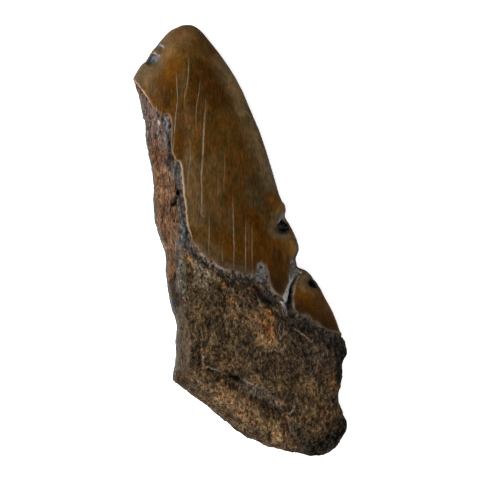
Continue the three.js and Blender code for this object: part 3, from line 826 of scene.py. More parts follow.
# %% Washes on the enamel
ENAMEL_WASHES = [
    ([(-14.5, 52.4), (-17.2, 49.6)], 4.4, "cream", 0.9),
    # painted sheen: the left side of the tip is painted paler, where it catches the light
    ([(-25, 40.8), (-21, 44.4), (-19, 48)], 3.2, "pale_sheen", 0.9),
    ([(-17.4, 46.6), (-15.5, 45.4)], 2.4, "ochre", 0.3),
    ([(-16.4, 43.6), (-17.8, 39)], 2.6, "amber", 0.85),
    ([(-20.6, 38.6), (-19.8, 35)], 2.2, "fox", 0.6),
    ([(-13.5, 44.9), (-13.3, 44.2)], 0.5, "soot", 0.6),
    ([(-17.4, 38), (-18.4, 34)], 2.0, "umber", 0.55),
    ([(-14.4, 42), (-14.6, 36)], 0.9, "mauve", 0.15),
    ([(-15.2, 31.4), (-14.4, 24), (-13.7, 19)], 1.8, "fox", 0.75),
    ([(-16.4, 25), (-15.4, 21)], 0.6, "amber", 0.5),
    ([(-9.6, 47), (-5.6, 43.6)], 2.2, "toffee", 0.8),
    ([(-10.6, 42.4), (-6.6, 40), (-6.2, 35.5)], 3.2, "umber", 0.75),
    ([(-9.6, 40.4), (-6, 39)], 1.9, "mahogany", 0.6),
    ([(-11.4, 40), (-11.6, 30)], 1.6, "umber", 0.6),
    # painted sheen on the left side of the tip
    ([(-23.6, 39), (-21.4, 37.4)], 1.6, "pale_sheen", 0.4),
    ([(-3.8, 44), (0.6, 36), (4, 27), (6.8, 18), (8.4, 12.6)], 3.0, "olive", 0.8),
    ([(3.4, 14.5), (4.6, 8.5)], 2.6, "moss", 0.5),
    ([(3.8, 26), (6.2, 17.6)], 1.3, "sand", 0.3),
    ([(-15, 31.6), (-14.8, 27.6)], 1.3, "moss", 0.35),
    # painted sheen over the left part of the blade, in the next three washes
    ([(-12.6, 32), (-12.4, 22)], 1.7, "painted_sheen", 0.22),
    ([(-12.2, 18.6), (-11.8, 13), (-10.6, 5)], 2.7, "painted_sheen", 0.6),
    ([(-12.8, 22), (-12.8, 21)], 1.0, "painted_sheen", 0.4),
    ([(-3.4, 45), (-1, 37), (0.4, 32)], 1.4, "sand", 0.55),
    # painted sheen on the blade, in the next two washes
    ([(-6.5, 20), (-6, 6)], 2.4, "painted_sheen", 0.3),
    ([(-9.4, -0.6), (-5.4, -3.4)], 2.0, "painted_sheen", 0.35),
    ([(-10.8, -0.8), (-8, -3.4), (-5, -5.6), (-1, -6.6), (3, -7.6)], 0.6, "mauve", 0.4),
    ([(-1, -1), (5, -2), (9.6, -2), (10.6, -8)], 3.0, "amber", 0.6),
    ([(-2, -0.4), (1.6, -2), (3, -3.8)], 1.8, "tortoise", 0.6),
    ([(9.4, -12.4), (10.2, -9)], 1.6, "umber", 0.7),
    ([(3, 6), (5.2, 1), (4.4, -4), (8.6, -7)], 2.6, "tortoise", 0.8),
    ([(8.0, 10.4), (8.2, 9.4)], 2.0, "amber", 0.95),
    ([(7.9, 10.4), (7.9, 9.8)], 0.5, "ochre", 0.6),
    # painted sheen: a grey-blue line along the cutting edge
    ([(6.6, 20), (8.1, 15), (8.8, 13.4)], 0.6, "slate", 0.35),
    ([(3.2, 31.6), (4.1, 29), (5.9, 23.4)], 0.5, "soot", 0.4),
    ([(2.5, 32.6), (2.8, 31.9)], 0.4, "soot", 0.7),
    ([(9.6, 7.2), (8, 6.4)], 0.8, "sand", 0.4),
    ([(11.4, 0.3), (12.8, -1.2), (13.2, -3.4)], 1.4, "honey", 0.95),
    ([(13, -0.6), (13.8, -2.4), (13.5, -3.6)], 0.7, "wheat", 0.25),
    ([(7.6, 1), (9.4, -0.6)], 1.2, "amber", 0.8),
    ([(10.8, 9.4), (10.6, 7.8)], 1.1, "honey", 0.6),
    ([(9.3, -3.2), (9.4, -5.2)], 1.2, "umber", 0.5),
    ([(9.9, 5.6), (8.4, 4.4), (8, 2.4), (9.2, 1.2), (11.6, 0.9)], 1.1, "olive", 0.9),
    ([(9.3, 2.6), (10.2, 1.9), (11.6, 2)], 0.7, "bottle", 0.8),
    ([(12.2, 2.1), (12.9, 1.5)], 0.6, "moss", 0.8),
    # painted highlights on the upper rim of the chip, in the next two washes
    ([(10.9, 6.4), (10.5, 5.4)], 0.7, "ash", 0.8),
    ([(10.2, 5.2), (9.6, 4.4)], 0.3, "pearl", 0.7),
    # painted highlight: a pale line along the lower rim of the chip
    ([(7.4, 2.1), (8.4, 1.1), (10.3, 0.7), (12, 0.9), (13.6, 1)], 0.5, "painted_sheen", 0.85),
    ([(15.2, -14), (19, -13)], 4.6, "amber", 0.8),
    # painted shade: the dark line on the shadowed side of the cusplet's top edge
    ([(18.4, -9.2), (17.2, -8.5), (16, -8.2), (14.9, -8.7), (14.2, -9.5)], 0.75, "painted_shade", 0.95),
    ([(16.2, -9.4), (15.6, -10.8), (16.6, -12.2)], 1.3, "olive", 0.95),
    ([(17.4, -12.9), (19.8, -12.9)], 0.8, "moss", 0.7),
    ([(17.6, -11), (19.4, -12)], 1.9, "loam", 0.5),
    ([(18, -13.4), (21, -16), (22.4, -18)], 1.7, "amber", 0.85),
    ([(17, -12.6), (18.6, -13.2)], 1.0, "honey", 0.4),
    ([(15, -17), (18, -18), (21, -19.6), (22.8, -21.4)], 2.1, "umber", 0.8),
    ([(17.4, -17.4), (20, -18.8), (22, -20.4)], 1.5, "tortoise", 0.4),
    ([(14.8, -15.4), (15, -17)], 0.9, "fox", 0.8),
]

# %% Washes in the chips and flakes
CHIP_WASHES = [
    ([(9.4, 4.2), (9.9, 3.2), (9.9, 2)], 0.5, "moss", 0.7),
    # painted highlight: a blue-grey glint across the chip
    ([(10.5, 3.3), (11.5, 3.1)], 0.34, "ash", 0.6),
    ([(12.6, 2.8), (13.2, 2.1)], 0.5, "moss", 0.35),
    # painted highlight on the chip's upper rim
    ([(11.2, 5.2), (11.7, 4.4)], 0.34, "ash", 0.8),
    ([(17.2, -10.4), (16.9, -10.9)], 0.4, "moss", 0.7),
    # painted shade on the shadowed side of the notch at the tip flake, in the next two washes
    ([(-24.2, 44.2), (-23.2, 45.4), (-22.4, 46.6)], 0.9, "ink", 0.95),
    ([(-22.8, 44.1), (-21.8, 44.3)], 0.4, "ink", 0.5),
    ([(-21.7, 45.6), (-21, 45.2)], 0.5, "ash", 0.6),
    ([(-21.6, 47.1), (-21.2, 46.8)], 0.4, "pearl", 0.95),
    ([(-21.2, 46.8), (-20.2, 46.1)], 0.26, "pearl", 0.8),
    ([(-21.6, 48), (-20.8, 48.9), (-20.2, 48.6)], 0.5, "ink", 0.9),
    ([(-20.1, 48.9), (-19, 48.2)], 0.3, "pearl", 0.9),
]

# %% Washes on the root
ROOT_WASHES = [
    ([(13.4, -20), (17.6, -23), (22.5, -25)], 3.6, "peat", 0.8),
    ([(16, -27), (20, -29), (23, -29)], 4.2, "plum", 0.82),
    ([(13.4, -30), (19, -33)], 3.4, "plum", 0.4),
    # painted shade: the right side of the root, turned away from the light
    ([(24.8, -24), (26, -30), (25.6, -34)], 2.8, "soot", 0.95),
    ([(-2.4, -23), (2, -28)], 3.2, "loam", 0.35),
    ([(6, -29), (10.4, -33.4)], 2.8, "loam", 0.4),
    ([(-13.6, -25.4), (-11, -29.6)], 2.2, "soot", 0.45),
    ([(-14.2, -2.6), (-14.3, -9), (-14, -18)], 1.0, "slate", 0.6),
    ([(-13.2, -11), (-12.8, -22)], 1.6, "loam", 0.4),
    # painted shade in the broad furrow under the notch
    ([(5.4, -13.2), (8.6, -15.2)], 1.7, "soot", 1.0),
    ([(3.6, -11.4), (5.4, -12.4)], 1.0, "garnet", 0.9),
    ([(-2, -18.4), (0.8, -19), (3.6, -20)], 1.9, "fawn", 0.5),
    ([(-0.4, -9.4), (1.8, -10.6)], 1.0, "soot", 0.7),
    ([(6.4, -18.4), (7.4, -20.8), (7.4, -23)], 1.8, "rust", 0.85),
    ([(6.8, -20.4), (7.3, -21.8)], 0.9, "flame", 0.35),
    ([(9.4, -17.2), (10.4, -18)], 0.9, "sand", 0.5),
    ([(-5, -12.6), (-3.4, -17)], 2.0, "loam", 0.5),
    ([(-2.1, -14.5), (-2.2, -14.2)], 0.9, "russet", 0.6),
    ([(-3.75, -11), (-3.6, -11.2)], 0.7, "rust", 0.6),
    ([(-2.6, -16.8), (-3.2, -18.4)], 0.6, "sand", 0.6),
    ([(4.2, -23.4), (4.8, -24.8), (7, -26.2), (8.8, -25.2)], 1.1, "wheat", 0.6),
    ([(-13.2, -4.4), (-9.6, -6.4), (-7.2, -8.6)], 1.3, "straw", 0.6),
    ([(-12.9, -4.4), (-12.2, -5)], 0.9, "ochre", 0.7),
    ([(-10.8, -6), (-10.4, -11)], 1.0, "straw", 0.5),
    ([(-8.2, -8), (-8.6, -12)], 0.8, "straw", 0.4),
    ([(-11.8, -32.6), (-9.6, -34.4), (-7.6, -35.4)], 1.6, "fawn", 0.15),
    ([(5.6, -37.6), (10, -41.6)], 1.2, "lilac", 0.4),
    ([(11, -38.4), (12.2, -41.6)], 1.5, "loam", 0.4),
    ([(-4.4, -38.6), (0.2, -41), (2.4, -43.4)], 2.6, "fawn", 0.8),
    ([(-2.4, -39.4), (-0.4, -40.6)], 1.2, "wheat", 0.25),
    ([(5.6, -45.2), (6.2, -46.6)], 1.6, "sand", 0.4),
    ([(8.6, -45.6), (9, -49.4)], 1.7, "sand", 0.6),
    ([(9.2, -45.6), (9.4, -49.2)], 1.0, "wheat", 0.45),
    ([(11.4, -44), (11.6, -51)], 1.2, "russet", 0.2),
    ([(15.6, -35.6), (19, -37.4)], 1.8, "sand", 0.5),
    ([(16.4, -42.6), (19.6, -43)], 1.4, "sand", 0.3),
    ([(22.6, -33), (23.8, -37.4)], 1.2, "rust", 0.3),
    # painted shade on the lower right of the root, which is turned away from the light
    ([(17.6, -52.6), (22.4, -50.4), (26, -46.4)], 3.0, "painted_shade", 0.95),
    ([(13.6, -47), (15.6, -51)], 2.0, "peat", 0.5),
    ([(20.6, -42.4), (22.4, -46)], 2.2, "bark", 0.35),
    ([(-12.4, -28.8), (-9.8, -29.2)], 1.1, "soot", 0.6),
    # painted shade in the deep crease across the root, in the next two washes
    ([(-6, -32.3), (-5, -32.8)], 0.45, "soot", 0.8),
    ([(-2.6, -33.6), (-1.2, -34.2), (0.5, -34.8)], 0.68, "painted_shade", 0.9),
    ([(-12.7, -22), (-12.8, -29.6)], 1.0, "peat", 0.8),
    # painted shade in the two furrows low on the root, in the next two washes
    ([(7.8, -40.6), (9, -42.6)], 1.0, "soot", 0.3),
    ([(7.4, -48), (7.2, -50.6)], 0.6, "soot", 0.8),
    ([(9.8, -34.4), (10.4, -36.8)], 0.9, "sand", 0.4),
    ([(0.8, -35.4), (5, -37.8)], 1.5, "slate", 0.3),
    ([(-10.6, -32.2), (-9, -31.2)], 0.5, "rust", 0.7),
    ([(-9.2, -27), (-9.1, -30.6)], 0.36, "rust", 0.7),
    ([(-13.4, -30.4), (-15, -33), (-12, -36.4)], 1.0, "plum", 0.8),
    ([(5.6, -11.4), (6.2, -12.8), (9, -14.6), (11, -15)], 0.4, "lilac", 0.45),
    # painted shade in the furrow below the cusplet
    ([(12.7, -15), (12.6, -17), (13.2, -18.8)], 0.5, "painted_shade", 0.9),
    ([(16.8, -19.8), (18.6, -21.4), (20, -22.4)], 0.9, "soot", 0.8),
]

# %% Washes on the bare grey dentine
GREY_WASHES = [
    ([(12.9, -9.4), (12.2, -11.8), (11.6, -13.6), (10.9, -15.2)], 1.1, "chalk", 0.8),
    ([(14.2, -6.2), (13.2, -8.4)], 1.3, "mauve", 0.6),
    ([(11.4, -15.6), (11.9, -17.4)], 0.8, "ash", 0.6),
    ([(5.5, -7.9), (5.6, -9.4)], 0.7, "ash", 0.6),
    ([(5.0, -6.1), (5.9, -7.4)], 0.9, "chalk", 0.2),
    ([(5.45, -6.5), (5.5, -6.7)], 0.42, "night", 0.95),
    # painted shade in the crevice along the cusplet's border
    ([(14.9, -8.4), (13.8, -9.6), (13, -10.9), (12.7, -13), (12.6, -15)], 0.45, "painted_shade", 0.9),
]

# %% Washes on the broken side
BREAK_WASHES = [
    ([(-25, 37.5), (-21.8, 31.5), (-20.2, 26)], 3.2, "dusk", 0.9),
    ([(-23, 34.6), (-21.4, 30.6), (-20.2, 27.6), (-20.4, 24.6)], 1.8, "lilac", 0.7),
    ([(-22, 24), (-20.4, 20)], 1.6, "brick", 0.5),
    ([(-21.2, 15.6), (-20.4, 10)], 1.4, "bark", 0.8),
    ([(-20.4, 17), (-19.8, 12.6)], 1.4, "fawn", 0.3),
    ([(-18.2, 18.4), (-16.6, 16.2)], 1.5, "lilac", 0.6),
    ([(-18.8, 30.4), (-18.4, 28.2)], 0.9, "ash", 0.85),
    ([(-19.7, 31.4), (-18.6, 31.2)], 0.5, "ink", 0.8),
    ([(-20.4, 30.2), (-20.3, 29)], 0.5, "pearl", 0.3),
    ([(-18.9, 27.4), (-18.6, 26.6)], 0.6, "slate", 0.8),
    ([(-18.1, 26.4), (-18, 24), (-17.9, 22.6)], 0.9, "slate", 0.9),
    ([(-17.8, 24.4), (-17.9, 21.6), (-17.6, 20)], 0.7, "ink", 0.6),
    ([(-18.3, 19.6), (-17.4, 18.4), (-16.8, 17.8)], 1.2, "ink", 0.7),
    ([(-16.4, 18.4), (-15.8, 16.2)], 1.2, "slate", 0.8),
    # the slate strip under the enamel: partly the wall's grey and partly painted shade on that steep wall
    ([(-15.6, 18.6), (-15.2, 14), (-15, 10), (-14.4, 5), (-13.6, 1), (-13, -1.6)], 0.95, "slate", 0.95),
    ([(-15.3, 14.6), (-14.9, 9.4)], 0.5, "ink", 0.5),
    ([(-14, 3.4), (-13.6, -0.4), (-11.8, -2.2)], 1.5, "slate", 0.85),
    ([(-14.2, 2.6), (-13.6, -1.2)], 0.9, "ash", 0.25),
    # painted shade in a furrow of the break
    ([(-15.7, -3.4), (-16.2, -6.4), (-16.5, -10)], 0.5, "soot", 0.8),
    ([(-19.4, -4), (-17.7, -8), (-17.6, -10)], 1.1, "bark", 0.9),
    ([(-15.1, -3), (-14.9, -9)], 0.8, "lilac", 0.8),
    ([(-16.9, -11), (-16, -15)], 1.9, "peat", 0.9),
    ([(-15.4, -12.6), (-15, -18)], 1.4, "peat", 0.6),
    ([(-16.8, -15.6), (-15.8, -17.8)], 1.0, "night", 0.7),
    # painted shade in the crack beside the enamel, in the next three washes
    ([(-15.5, 12.2), (-16, 10.4), (-17, 8.9)], 0.6, "painted_shade", 0.95),
    ([(-16.3, 9.2), (-16.4, 7), (-16.7, 4.8)], 0.3, "painted_shade", 0.9),
    ([(-17, 8.9), (-17.9, 8.7)], 0.25, "painted_shade", 0.7),
    ([(-15.3, -0.6), (-15.2, -6), (-14.9, -12)], 1.1, "slate", 0.6),
    ([(-14.8, -3), (-14.6, -10)], 0.5, "mauve", 0.5),
    ([(-15, -18.6), (-14.9, -24), (-14.8, -31)], 2.4, "stone", 0.95),
    ([(-14.6, -32), (-16.4, -34.6)], 2.4, "stone", 0.95),
    ([(-15.4, -34), (-12.6, -36.6), (-9, -39.4)], 2.0, "loam", 0.95),
]
# Painted shade: a slate line along the broken outline, where the flank turns away from the light.
RIM_INSET = 0.1
RIM_TOP = 36
rim = [(across + RIM_INSET, along) for across, along in broken_outline if along < RIM_TOP]
BREAK_WASHES.append((rim, 0.55, "slate", 0.75))


# %% Lay the washes on
def lay_on(places, washes):
    """The colour and the cover of a list of washes, each laid over those before it."""
    ragged_rim = 0.4 * wobble(places, 1.6, octaves=3, start=9)
    colour = np.zeros((len(places), 3))
    cover = np.zeros(len(places))
    for line, reach, pigment, strength in washes:
        gap = near_line(places, line)[0] / reach + ragged_rim
        wash = strength * smoothstep(1.35, 0.35, gap)
        total = wash + cover * (1 - wash)
        share = (wash / np.maximum(total, 1e-6))[:, None]
        colour = colour * (1 - share) + share * np.array(srgb(*PIGMENTS[pigment]))[:3]
        cover = total
    return colour, cover


NO_GREY = -9  # mm, far outside the bare grey dentine

grey = np.max([depth_in(places, area) for area in GREY_AREAS], axis=0)
grey = np.where(is_inner, grey, NO_GREY) + ragged
on_enamel = (enamel > 0) & is_inner
on_root = (enamel <= 0) & (break_side <= 0.5)
in_chip = np.maximum(chip, flake) > 0
washed = np.zeros((len(places), 4))
for washes, skin_here in (
    (ENAMEL_WASHES, on_enamel & ~in_chip),
    (CHIP_WASHES, on_enamel & in_chip),
    (ROOT_WASHES, on_root & is_inner & (grey <= 0)),
    (GREY_WASHES, on_root & (grey > 0)),
    (BREAK_WASHES, break_side > 0.5),
):
    colour, cover = lay_on(places[skin_here], washes)
    washed[skin_here, :3] = colour
    washed[skin_here, 3] = cover
paint = tooth.data.attributes.new("washes", "FLOAT_COLOR", "POINT")
paint.data.foreach_set("color", washed.astype(np.float32).ravel())
print("stained", round(100 * float((washed[:, 3] > 0.1).mean())), "% of the points")


# %% Store the numbers that the material reads
def store(thing, name, values):
    """A float on every point, which the material reads by name."""
    attribute = thing.data.attributes.new(name, "FLOAT", "POINT")
    attribute.data.foreach_set("value", np.asarray(values, dtype=np.float32))


def border_light(places, border):
    """How brightly the enamel's broken lip shows at the nearest point of a border."""
    steps = np.linalg.norm(np.diff(np.array(border)[:, :2], axis=0), axis=1)
    stops = np.concatenate([[0], np.cumsum(steps)]) / steps.sum()
    return np.interp(near_line(places, border)[2], stops, np.array(border)[:, 2])


OUTER_LIP = 0.3
blade_lip = border_light(places, BLADE_BORDER)
cusplet_lip = border_light(places, CUSPLET_BORDER)
lip = np.where(blade_depth > cusplet_depth, blade_lip, cusplet_lip)
lip = np.where(is_inner, lip, OUTER_LIP)
# The carved relief, which the material uses to paint shade into the hollows and light onto the high spots
relief = np.where(break_side > 0.5, tears, 0.5 * lumps + fibres) - 0.9 * root_pores * (1 - break_side)

for name, values in {
    "enamel": enamel,
    "lip": lip,
    "break_side": break_side,
    "crack_offset": crack_offset,
    "crack_bright": crack_bright,
    "grey": grey,
    "furrow": furrow,
    "vein": vein,
    "relief": relief,
    "chip": chip,
    "flake": flake,
    "edge_wear": from_edge_of(places),
}.items():
    store(tooth, name, values)
print("stored", len(tooth.data.attributes), "attributes")

# %% [markdown]
# ## One material with four skins
#
# The formulas below are written as sums in Python. A small class wraps a socket, and each operator adds the
# Math node that does it. Everything else, such as noise or a colour mix, comes from one method.


# %% Shader sums
class Value:
    """A socket that can be used in a sum."""

    def __init__(self, sheet, socket):
        self.sheet = sheet
        self.socket = socket

    def _math(self, operation, *values):
        return self.sheet.node("Math", {"operation": operation}, dict(enumerate(values)))

    def __add__(self, other):
        return self._math("ADD", self, other)

    def __sub__(self, other):
        return self._math("SUBTRACT", self, other)

    def __rsub__(self, other):
        return self._math("SUBTRACT", other, self)

    def __mul__(self, other):
        return self._math("MULTIPLY", self, other)

    def __abs__(self):
        return self._math("ABSOLUTE", self)

    __radd__ = __add__
    __rmul__ = __mul__


class Sheet:
    """The node tree of a material."""

    def __init__(self, material):
        material.use_nodes = True
        self.tree = material.node_tree
        self.shader = self.tree.nodes["Principled BSDF"]

    def connect(self, value, socket):
        if isinstance(value, Value):
            self.tree.links.new(value.socket, socket)
        else:
            socket.default_value = value

    def node(self, kind, settings=None, sockets=None, output=0):
        made = self.tree.nodes.new("ShaderNode" + kind)
        for key, value in (settings or {}).items():
            setattr(made, key, value)
        for key, value in (sockets or {}).items():
            self.connect(value, made.inputs[key])
        return Value(self, made.outputs[output])

    def attribute(self, name, output="Fac"):
        return self.node("Attribute", {"attribute_name": name}, output=output)

    def step(self, low, high, value):
        """0 below low and 1 above high, or the other way round where low is the larger."""
        sockets = {"Value": value, "From Min": low, "From Max": high}
        return self.node("MapRange", {"interpolation_type": "SMOOTHSTEP"}, sockets)

    def span(self, value, low, high, out_low, out_high):
        """A value's range stretched to another one, and held at its ends."""
        sockets = {"Value": value, "From Min": low, "From Max": high, "To Min": out_low, "To Max": out_high}
        return self.node("MapRange", {}, sockets)

    def mix(self, share, first, second):
        """A colour between two, by a share from 0 to 1."""
        return self.node("Mix", {"data_type": "RGBA"}, {0: share, 6: first, 7: second}, output=2)

    def shade(self, colour, factor):
        """A colour made lighter or darker by a factor."""
        return self.node("VectorMath", {"operation": "SCALE"}, {0: colour, "Scale": factor})

    def vary(self, colour, grain, darkest, lightest, spread=0.16):
        """A colour made darker and lighter by noise, whose values mostly lie within a spread of a half."""
        return self.shade(colour, self.span(grain, 0.5 - spread, 0.5 + spread, darkest, lightest))

    def tint(self, colour, by):
        """A colour multiplied by another one, channel by channel."""
        return self.node("VectorMath", {"operation": "MULTIPLY"}, {0: colour, 1: by})

    def noise(self, place, size, detail=3.0, roughness=0.55, stretch=(1, 1, 1), twist=0.0):
        """Noise from 0 to 1, of a size in millimetres, drawn out along any axis and twisted out of line."""
        scale = [1 / (size * MM * s) for s in stretch]
        scaled = self.node("VectorMath", {"operation": "MULTIPLY"}, {0: place, 1: scale})
        sockets = {"Vector": scaled, "Scale": 1.0, "Detail": detail, "Roughness": roughness}
        return self.node("TexNoise", {}, {**sockets, "Distortion": twist})


# %% Read the stored numbers
skin = bpy.data.materials.new("fossil tooth")
s = Sheet(skin)
place = s.node("TexCoord", output="Object")
enamel_in = s.attribute("enamel")
lip_in = s.attribute("lip")
break_in = s.attribute("break_side")
relief_for_shade = s.attribute("relief")
grey_in = s.attribute("grey")
chip_in = s.attribute("chip")
vein_in = s.attribute("vein")
flake_in = s.attribute("flake")
washes_in = s.attribute("washes", "Color")
cover_in = s.attribute("washes", "Alpha")
fine_edge = (s.noise(place, 0.35, 3) - 0.5) * 0.4
is_enamel = s.step(-0.06, 0.06, enamel_in + fine_edge)

# %% [markdown]
# ### Enamel
#
# Fossil enamel is a stained glassy layer over darker dentine. Its colour drifts between orange brown and
# olive brown in narrow streaks that run down the blade, fainter on the worn tip. Its hairline cracks have
# filled with pale clay.

# %% Enamel colour
OLIVE_ENAMEL = srgb(70, 52, 20)
AMBER_ENAMEL = srgb(85, 52, 14)
HAIRLINE = srgb(128, 102, 62)
COOL_TINT = (0.97, 1.02, 1.08, 1)
WARM_TINT = (1.03, 0.985, 0.9, 1)
TIP_WEAR = 0.4

streaks = s.noise(place, 0.36, 3, 0.6, stretch=(0.8, 9, 1))
bands = s.noise(place, 1.0, 3, 0.6, stretch=(0.8, 6, 1))
clouds = s.noise(place, 2.0, 4, 0.65, stretch=(0.8, 1.6, 1))
drifts = s.noise(place, 4.5, 3, 0.6, stretch=(0.8, 1.8, 1))
enamel_base = s.mix(s.step(0.32, 0.68, bands), OLIVE_ENAMEL, AMBER_ENAMEL)
enamel_colour = s.mix(cover_in, enamel_base, washes_in)
streak_shade = s.span(streaks, 0.3, 0.7, 0.57, 1.46)
towards_tip = s.node("SeparateXYZ", {}, {"Vector": place}, output=1)
worn_smooth = s.step(34 * MM, 44 * MM, towards_tip) * TIP_WEAR
enamel_colour = s.shade(enamel_colour, streak_shade + (1 - streak_shade) * worn_smooth)
enamel_colour = s.vary(enamel_colour, clouds, 0.70, 1.28, spread=0.2)
enamel_colour = s.vary(enamel_colour, drifts, 0.84, 1.13)
warmth = s.step(0.38, 0.62, drifts * 0.6 + bands * 0.4)
enamel_colour = s.tint(enamel_colour, s.mix(warmth, COOL_TINT, WARM_TINT))
hairlines = s.step(0.60, 0.72, s.noise(place, 0.3, 2, 0.5, stretch=(0.8, 16, 1)))
enamel_colour = s.mix(hairlines * 0.30, enamel_colour, HAIRLINE)

# %% Cracks in the enamel
CLAY = srgb(146, 129, 110)
CLAY_HALO = srgb(92, 74, 54)

crack_across = abs(s.attribute("crack_offset"))
ragged_crack = crack_across + (s.noise(place, 0.5, 3, 0.6, stretch=(1, 2.2, 1)) - 0.5) * 1.6
crack_line = s.step(1.1, 0.35, ragged_crack) * s.attribute("crack_bright")
crack_halo = s.step(3.0, 0.4, crack_across) * s.attribute("crack_bright")
broken_up = s.step(0.32, 0.62, s.noise(place, 1.1, 3, 0.6, stretch=(1, 2.2, 1)))
enamel_colour = s.mix(crack_halo * 0.16, enamel_colour, CLAY_HALO)
enamel_colour = s.mix(crack_line * (0.25 + broken_up * 0.65), enamel_colour, CLAY)

# %% Chips, flakes and the lip of the enamel
# A chip is darkest in the middle of its hollow and lighter at its rim: partly the dark stone under the
# enamel and partly painted shade. Noise adds painted glints on its glassy floor.
CHIP_DARK = srgb(12, 13, 17)
CHIP_PAINTED_GLINT = srgb(62, 66, 72)
CHIP_RIM = srgb(40, 41, 36)
FLAKE_DARK = srgb(62, 66, 68)
FLAKE_PALE = srgb(100, 98, 98)
LIP_DULL = srgb(140, 117, 95)
LIP_BRIGHT = srgb(168, 143, 121)
WORN_EDGE = srgb(98, 84, 72)

# painted glints and painted shade in the chips
painted_glint = s.step(0.52, 0.66, s.noise(place, 0.7, 3, 0.6, stretch=(1.4, 0.5, 1)))
chip_colour = s.mix(painted_glint, CHIP_DARK, CHIP_PAINTED_GLINT)
chip_colour = s.mix(s.step(0.5, 0.1, chip_in), chip_colour, CHIP_RIM)
chip_mask = s.step(-0.12, 0.22, chip_in + fine_edge)
enamel_colour = s.mix(chip_mask, enamel_colour, s.mix(cover_in, chip_colour, washes_in))
flake_colour = s.mix(s.step(0.4, 0.65, s.noise(place, 0.6, 3)), FLAKE_DARK, FLAKE_PALE)
flake_mask = s.step(-0.05, 0.1, flake_in + fine_edge)
enamel_colour = s.mix(flake_mask, enamel_colour, s.mix(cover_in, flake_colour, washes_in))
# The lip: the cream line of broken enamel, with a painted highlight where the border faces the light.
lip_width = s.step(0.72, 0.16, enamel_in + fine_edge)
lip_colour = s.mix(s.step(0.75, 1.0, lip_in), LIP_DULL, LIP_BRIGHT)
enamel_colour = s.mix(lip_width * lip_in * 0.9, enamel_colour, lip_colour)
edge_wear = s.step(0.75, 0.1, s.attribute("edge_wear"))
enamel_colour = s.mix(edge_wear * 0.55, enamel_colour, WORN_EDGE)

# %% [markdown]
# ### Root
#
# The root is bare dentine: a felt of pale fibres over dark brown, with dirt in its pores. The grain makes
# the local colour lighter or darker. The stored relief paints light and shade: painted shade darkens the
# carved hollows, and painted light lightens the high spots.

# %% Root colour
ROOT_DARK = srgb(54, 42, 29)
ROOT_PALE = srgb(78, 60, 40)
ROOT_FIBRE = srgb(128, 116, 96)
ROOT_DIRT = srgb(16, 12, 9)
RUSTY_TINT = (1.14, 0.97, 0.84, 1)
MOSSY_TINT = (0.9, 1.03, 1.06, 1)

grain = s.noise(place, 0.36, 3, 0.62, stretch=(0.85, 1.7, 1), twist=0.5)
felt = s.noise(place, 0.95, 3, 0.6, stretch=(0.85, 1.5, 1), twist=0.4)
mottle = s.noise(place, 2.6, 4, 0.6)
root_base = s.mix(s.step(0.35, 0.65, mottle), ROOT_DARK, ROOT_PALE)
root_colour = s.mix(cover_in, root_base, washes_in)
root_colour = s.vary(root_colour, grain, 0.25, 2.0)
root_colour = s.vary(root_colour, felt, 0.45, 1.45)
root_colour = s.vary(root_colour, mottle, 0.78, 1.18)
# painted shade in the carved hollows and painted light on the high spots
root_colour = s.shade(root_colour, s.span(relief_for_shade, -0.8, 0.6, 0.45, 1.3))
dentine_tint = s.mix(s.step(0.36, 0.64, s.noise(place, 0.9, 3, 0.6)), RUSTY_TINT, MOSSY_TINT)
root_colour = s.tint(root_colour, dentine_tint)
strand = s.step(0.085, 0.0, abs(s.noise(place, 0.85, 2, 0.6, stretch=(0.62, 2.0, 1), twist=0.9) - 0.5))
strand = strand * s.step(0.38, 0.6, felt)
root_colour = s.shade(root_colour, 0.88 + strand * 0.85)
root_colour = s.mix(strand * 0.3, root_colour, ROOT_FIBRE)
root_colour = s.mix(s.step(0.37, 0.29, grain) * 0.6, root_colour, ROOT_DIRT)

# %% The dark band under the enamel, with a pale line along its top
BAND_DARK = srgb(42, 35, 30)
BAND_PALE = srgb(100, 90, 84)
BAND_LINE = srgb(138, 128, 119)

band = s.step(-2.7, -1.7, enamel_in) * s.step(0.05, -0.3, enamel_in)
band_colour = s.vary(s.mix(s.step(0.42, 0.62, felt), BAND_DARK, BAND_PALE), grain, 0.5, 1.6)
root_colour = s.mix(band * (0.55 - cover_in * 0.3), root_colour, band_colour)
pale_line = s.step(-0.9, -0.3, enamel_in) * s.step(0.40, 0.60, s.noise(place, 0.9, 3))
root_colour = s.mix(pale_line * (0.7 - cover_in * 0.45), root_colour, BAND_LINE)

# %% Bare grey dentine, and the veins
GREY_DARK = srgb(92, 86, 84)
GREY_PALE = srgb(148, 141, 136)
GREY_DIRT = srgb(40, 36, 36)
VEIN_DARK = srgb(84, 73, 62)
VEIN_PALE = srgb(150, 135, 119)

crumbs = s.noise(place, 0.7, 3, 0.6)
grey_skin = s.mix(s.step(0.36, 0.64, crumbs), GREY_DARK, GREY_PALE)
grey_skin = s.mix(cover_in, grey_skin, washes_in)
grey_skin = s.vary(grey_skin, crumbs, 0.78, 1.15, spread=0.14)
grey_skin = s.mix(s.step(0.38, 0.30, grain) * 0.5, grey_skin, GREY_DIRT)
is_grey = s.step(-0.2, 0.15, grey_in)
root_colour = s.mix(is_grey, root_colour, grey_skin)
vein_colour = s.mix(s.step(0.38, 0.6, grain), VEIN_DARK, VEIN_PALE)
root_colour = s.mix(s.step(0.12, 0.62, vein_in) * 0.73, root_colour, vein_colour)

# %% [markdown]
# ### Broken side
#
# The break runs along the fibres of the dentine, so it looks like split wood: long reddish-brown strands,
# mauve-grey towards the tip, and a slate-dark strip just under the enamel. That strip is partly the grey of
# the steep wall there and partly painted shade on it.

# %% Colour of the break
BREAK_DARK = srgb(74, 53, 39)
BREAK_PALE = srgb(100, 74, 56)
FISSURE = srgb(30, 21, 17)
SPECK = srgb(150, 130, 116)

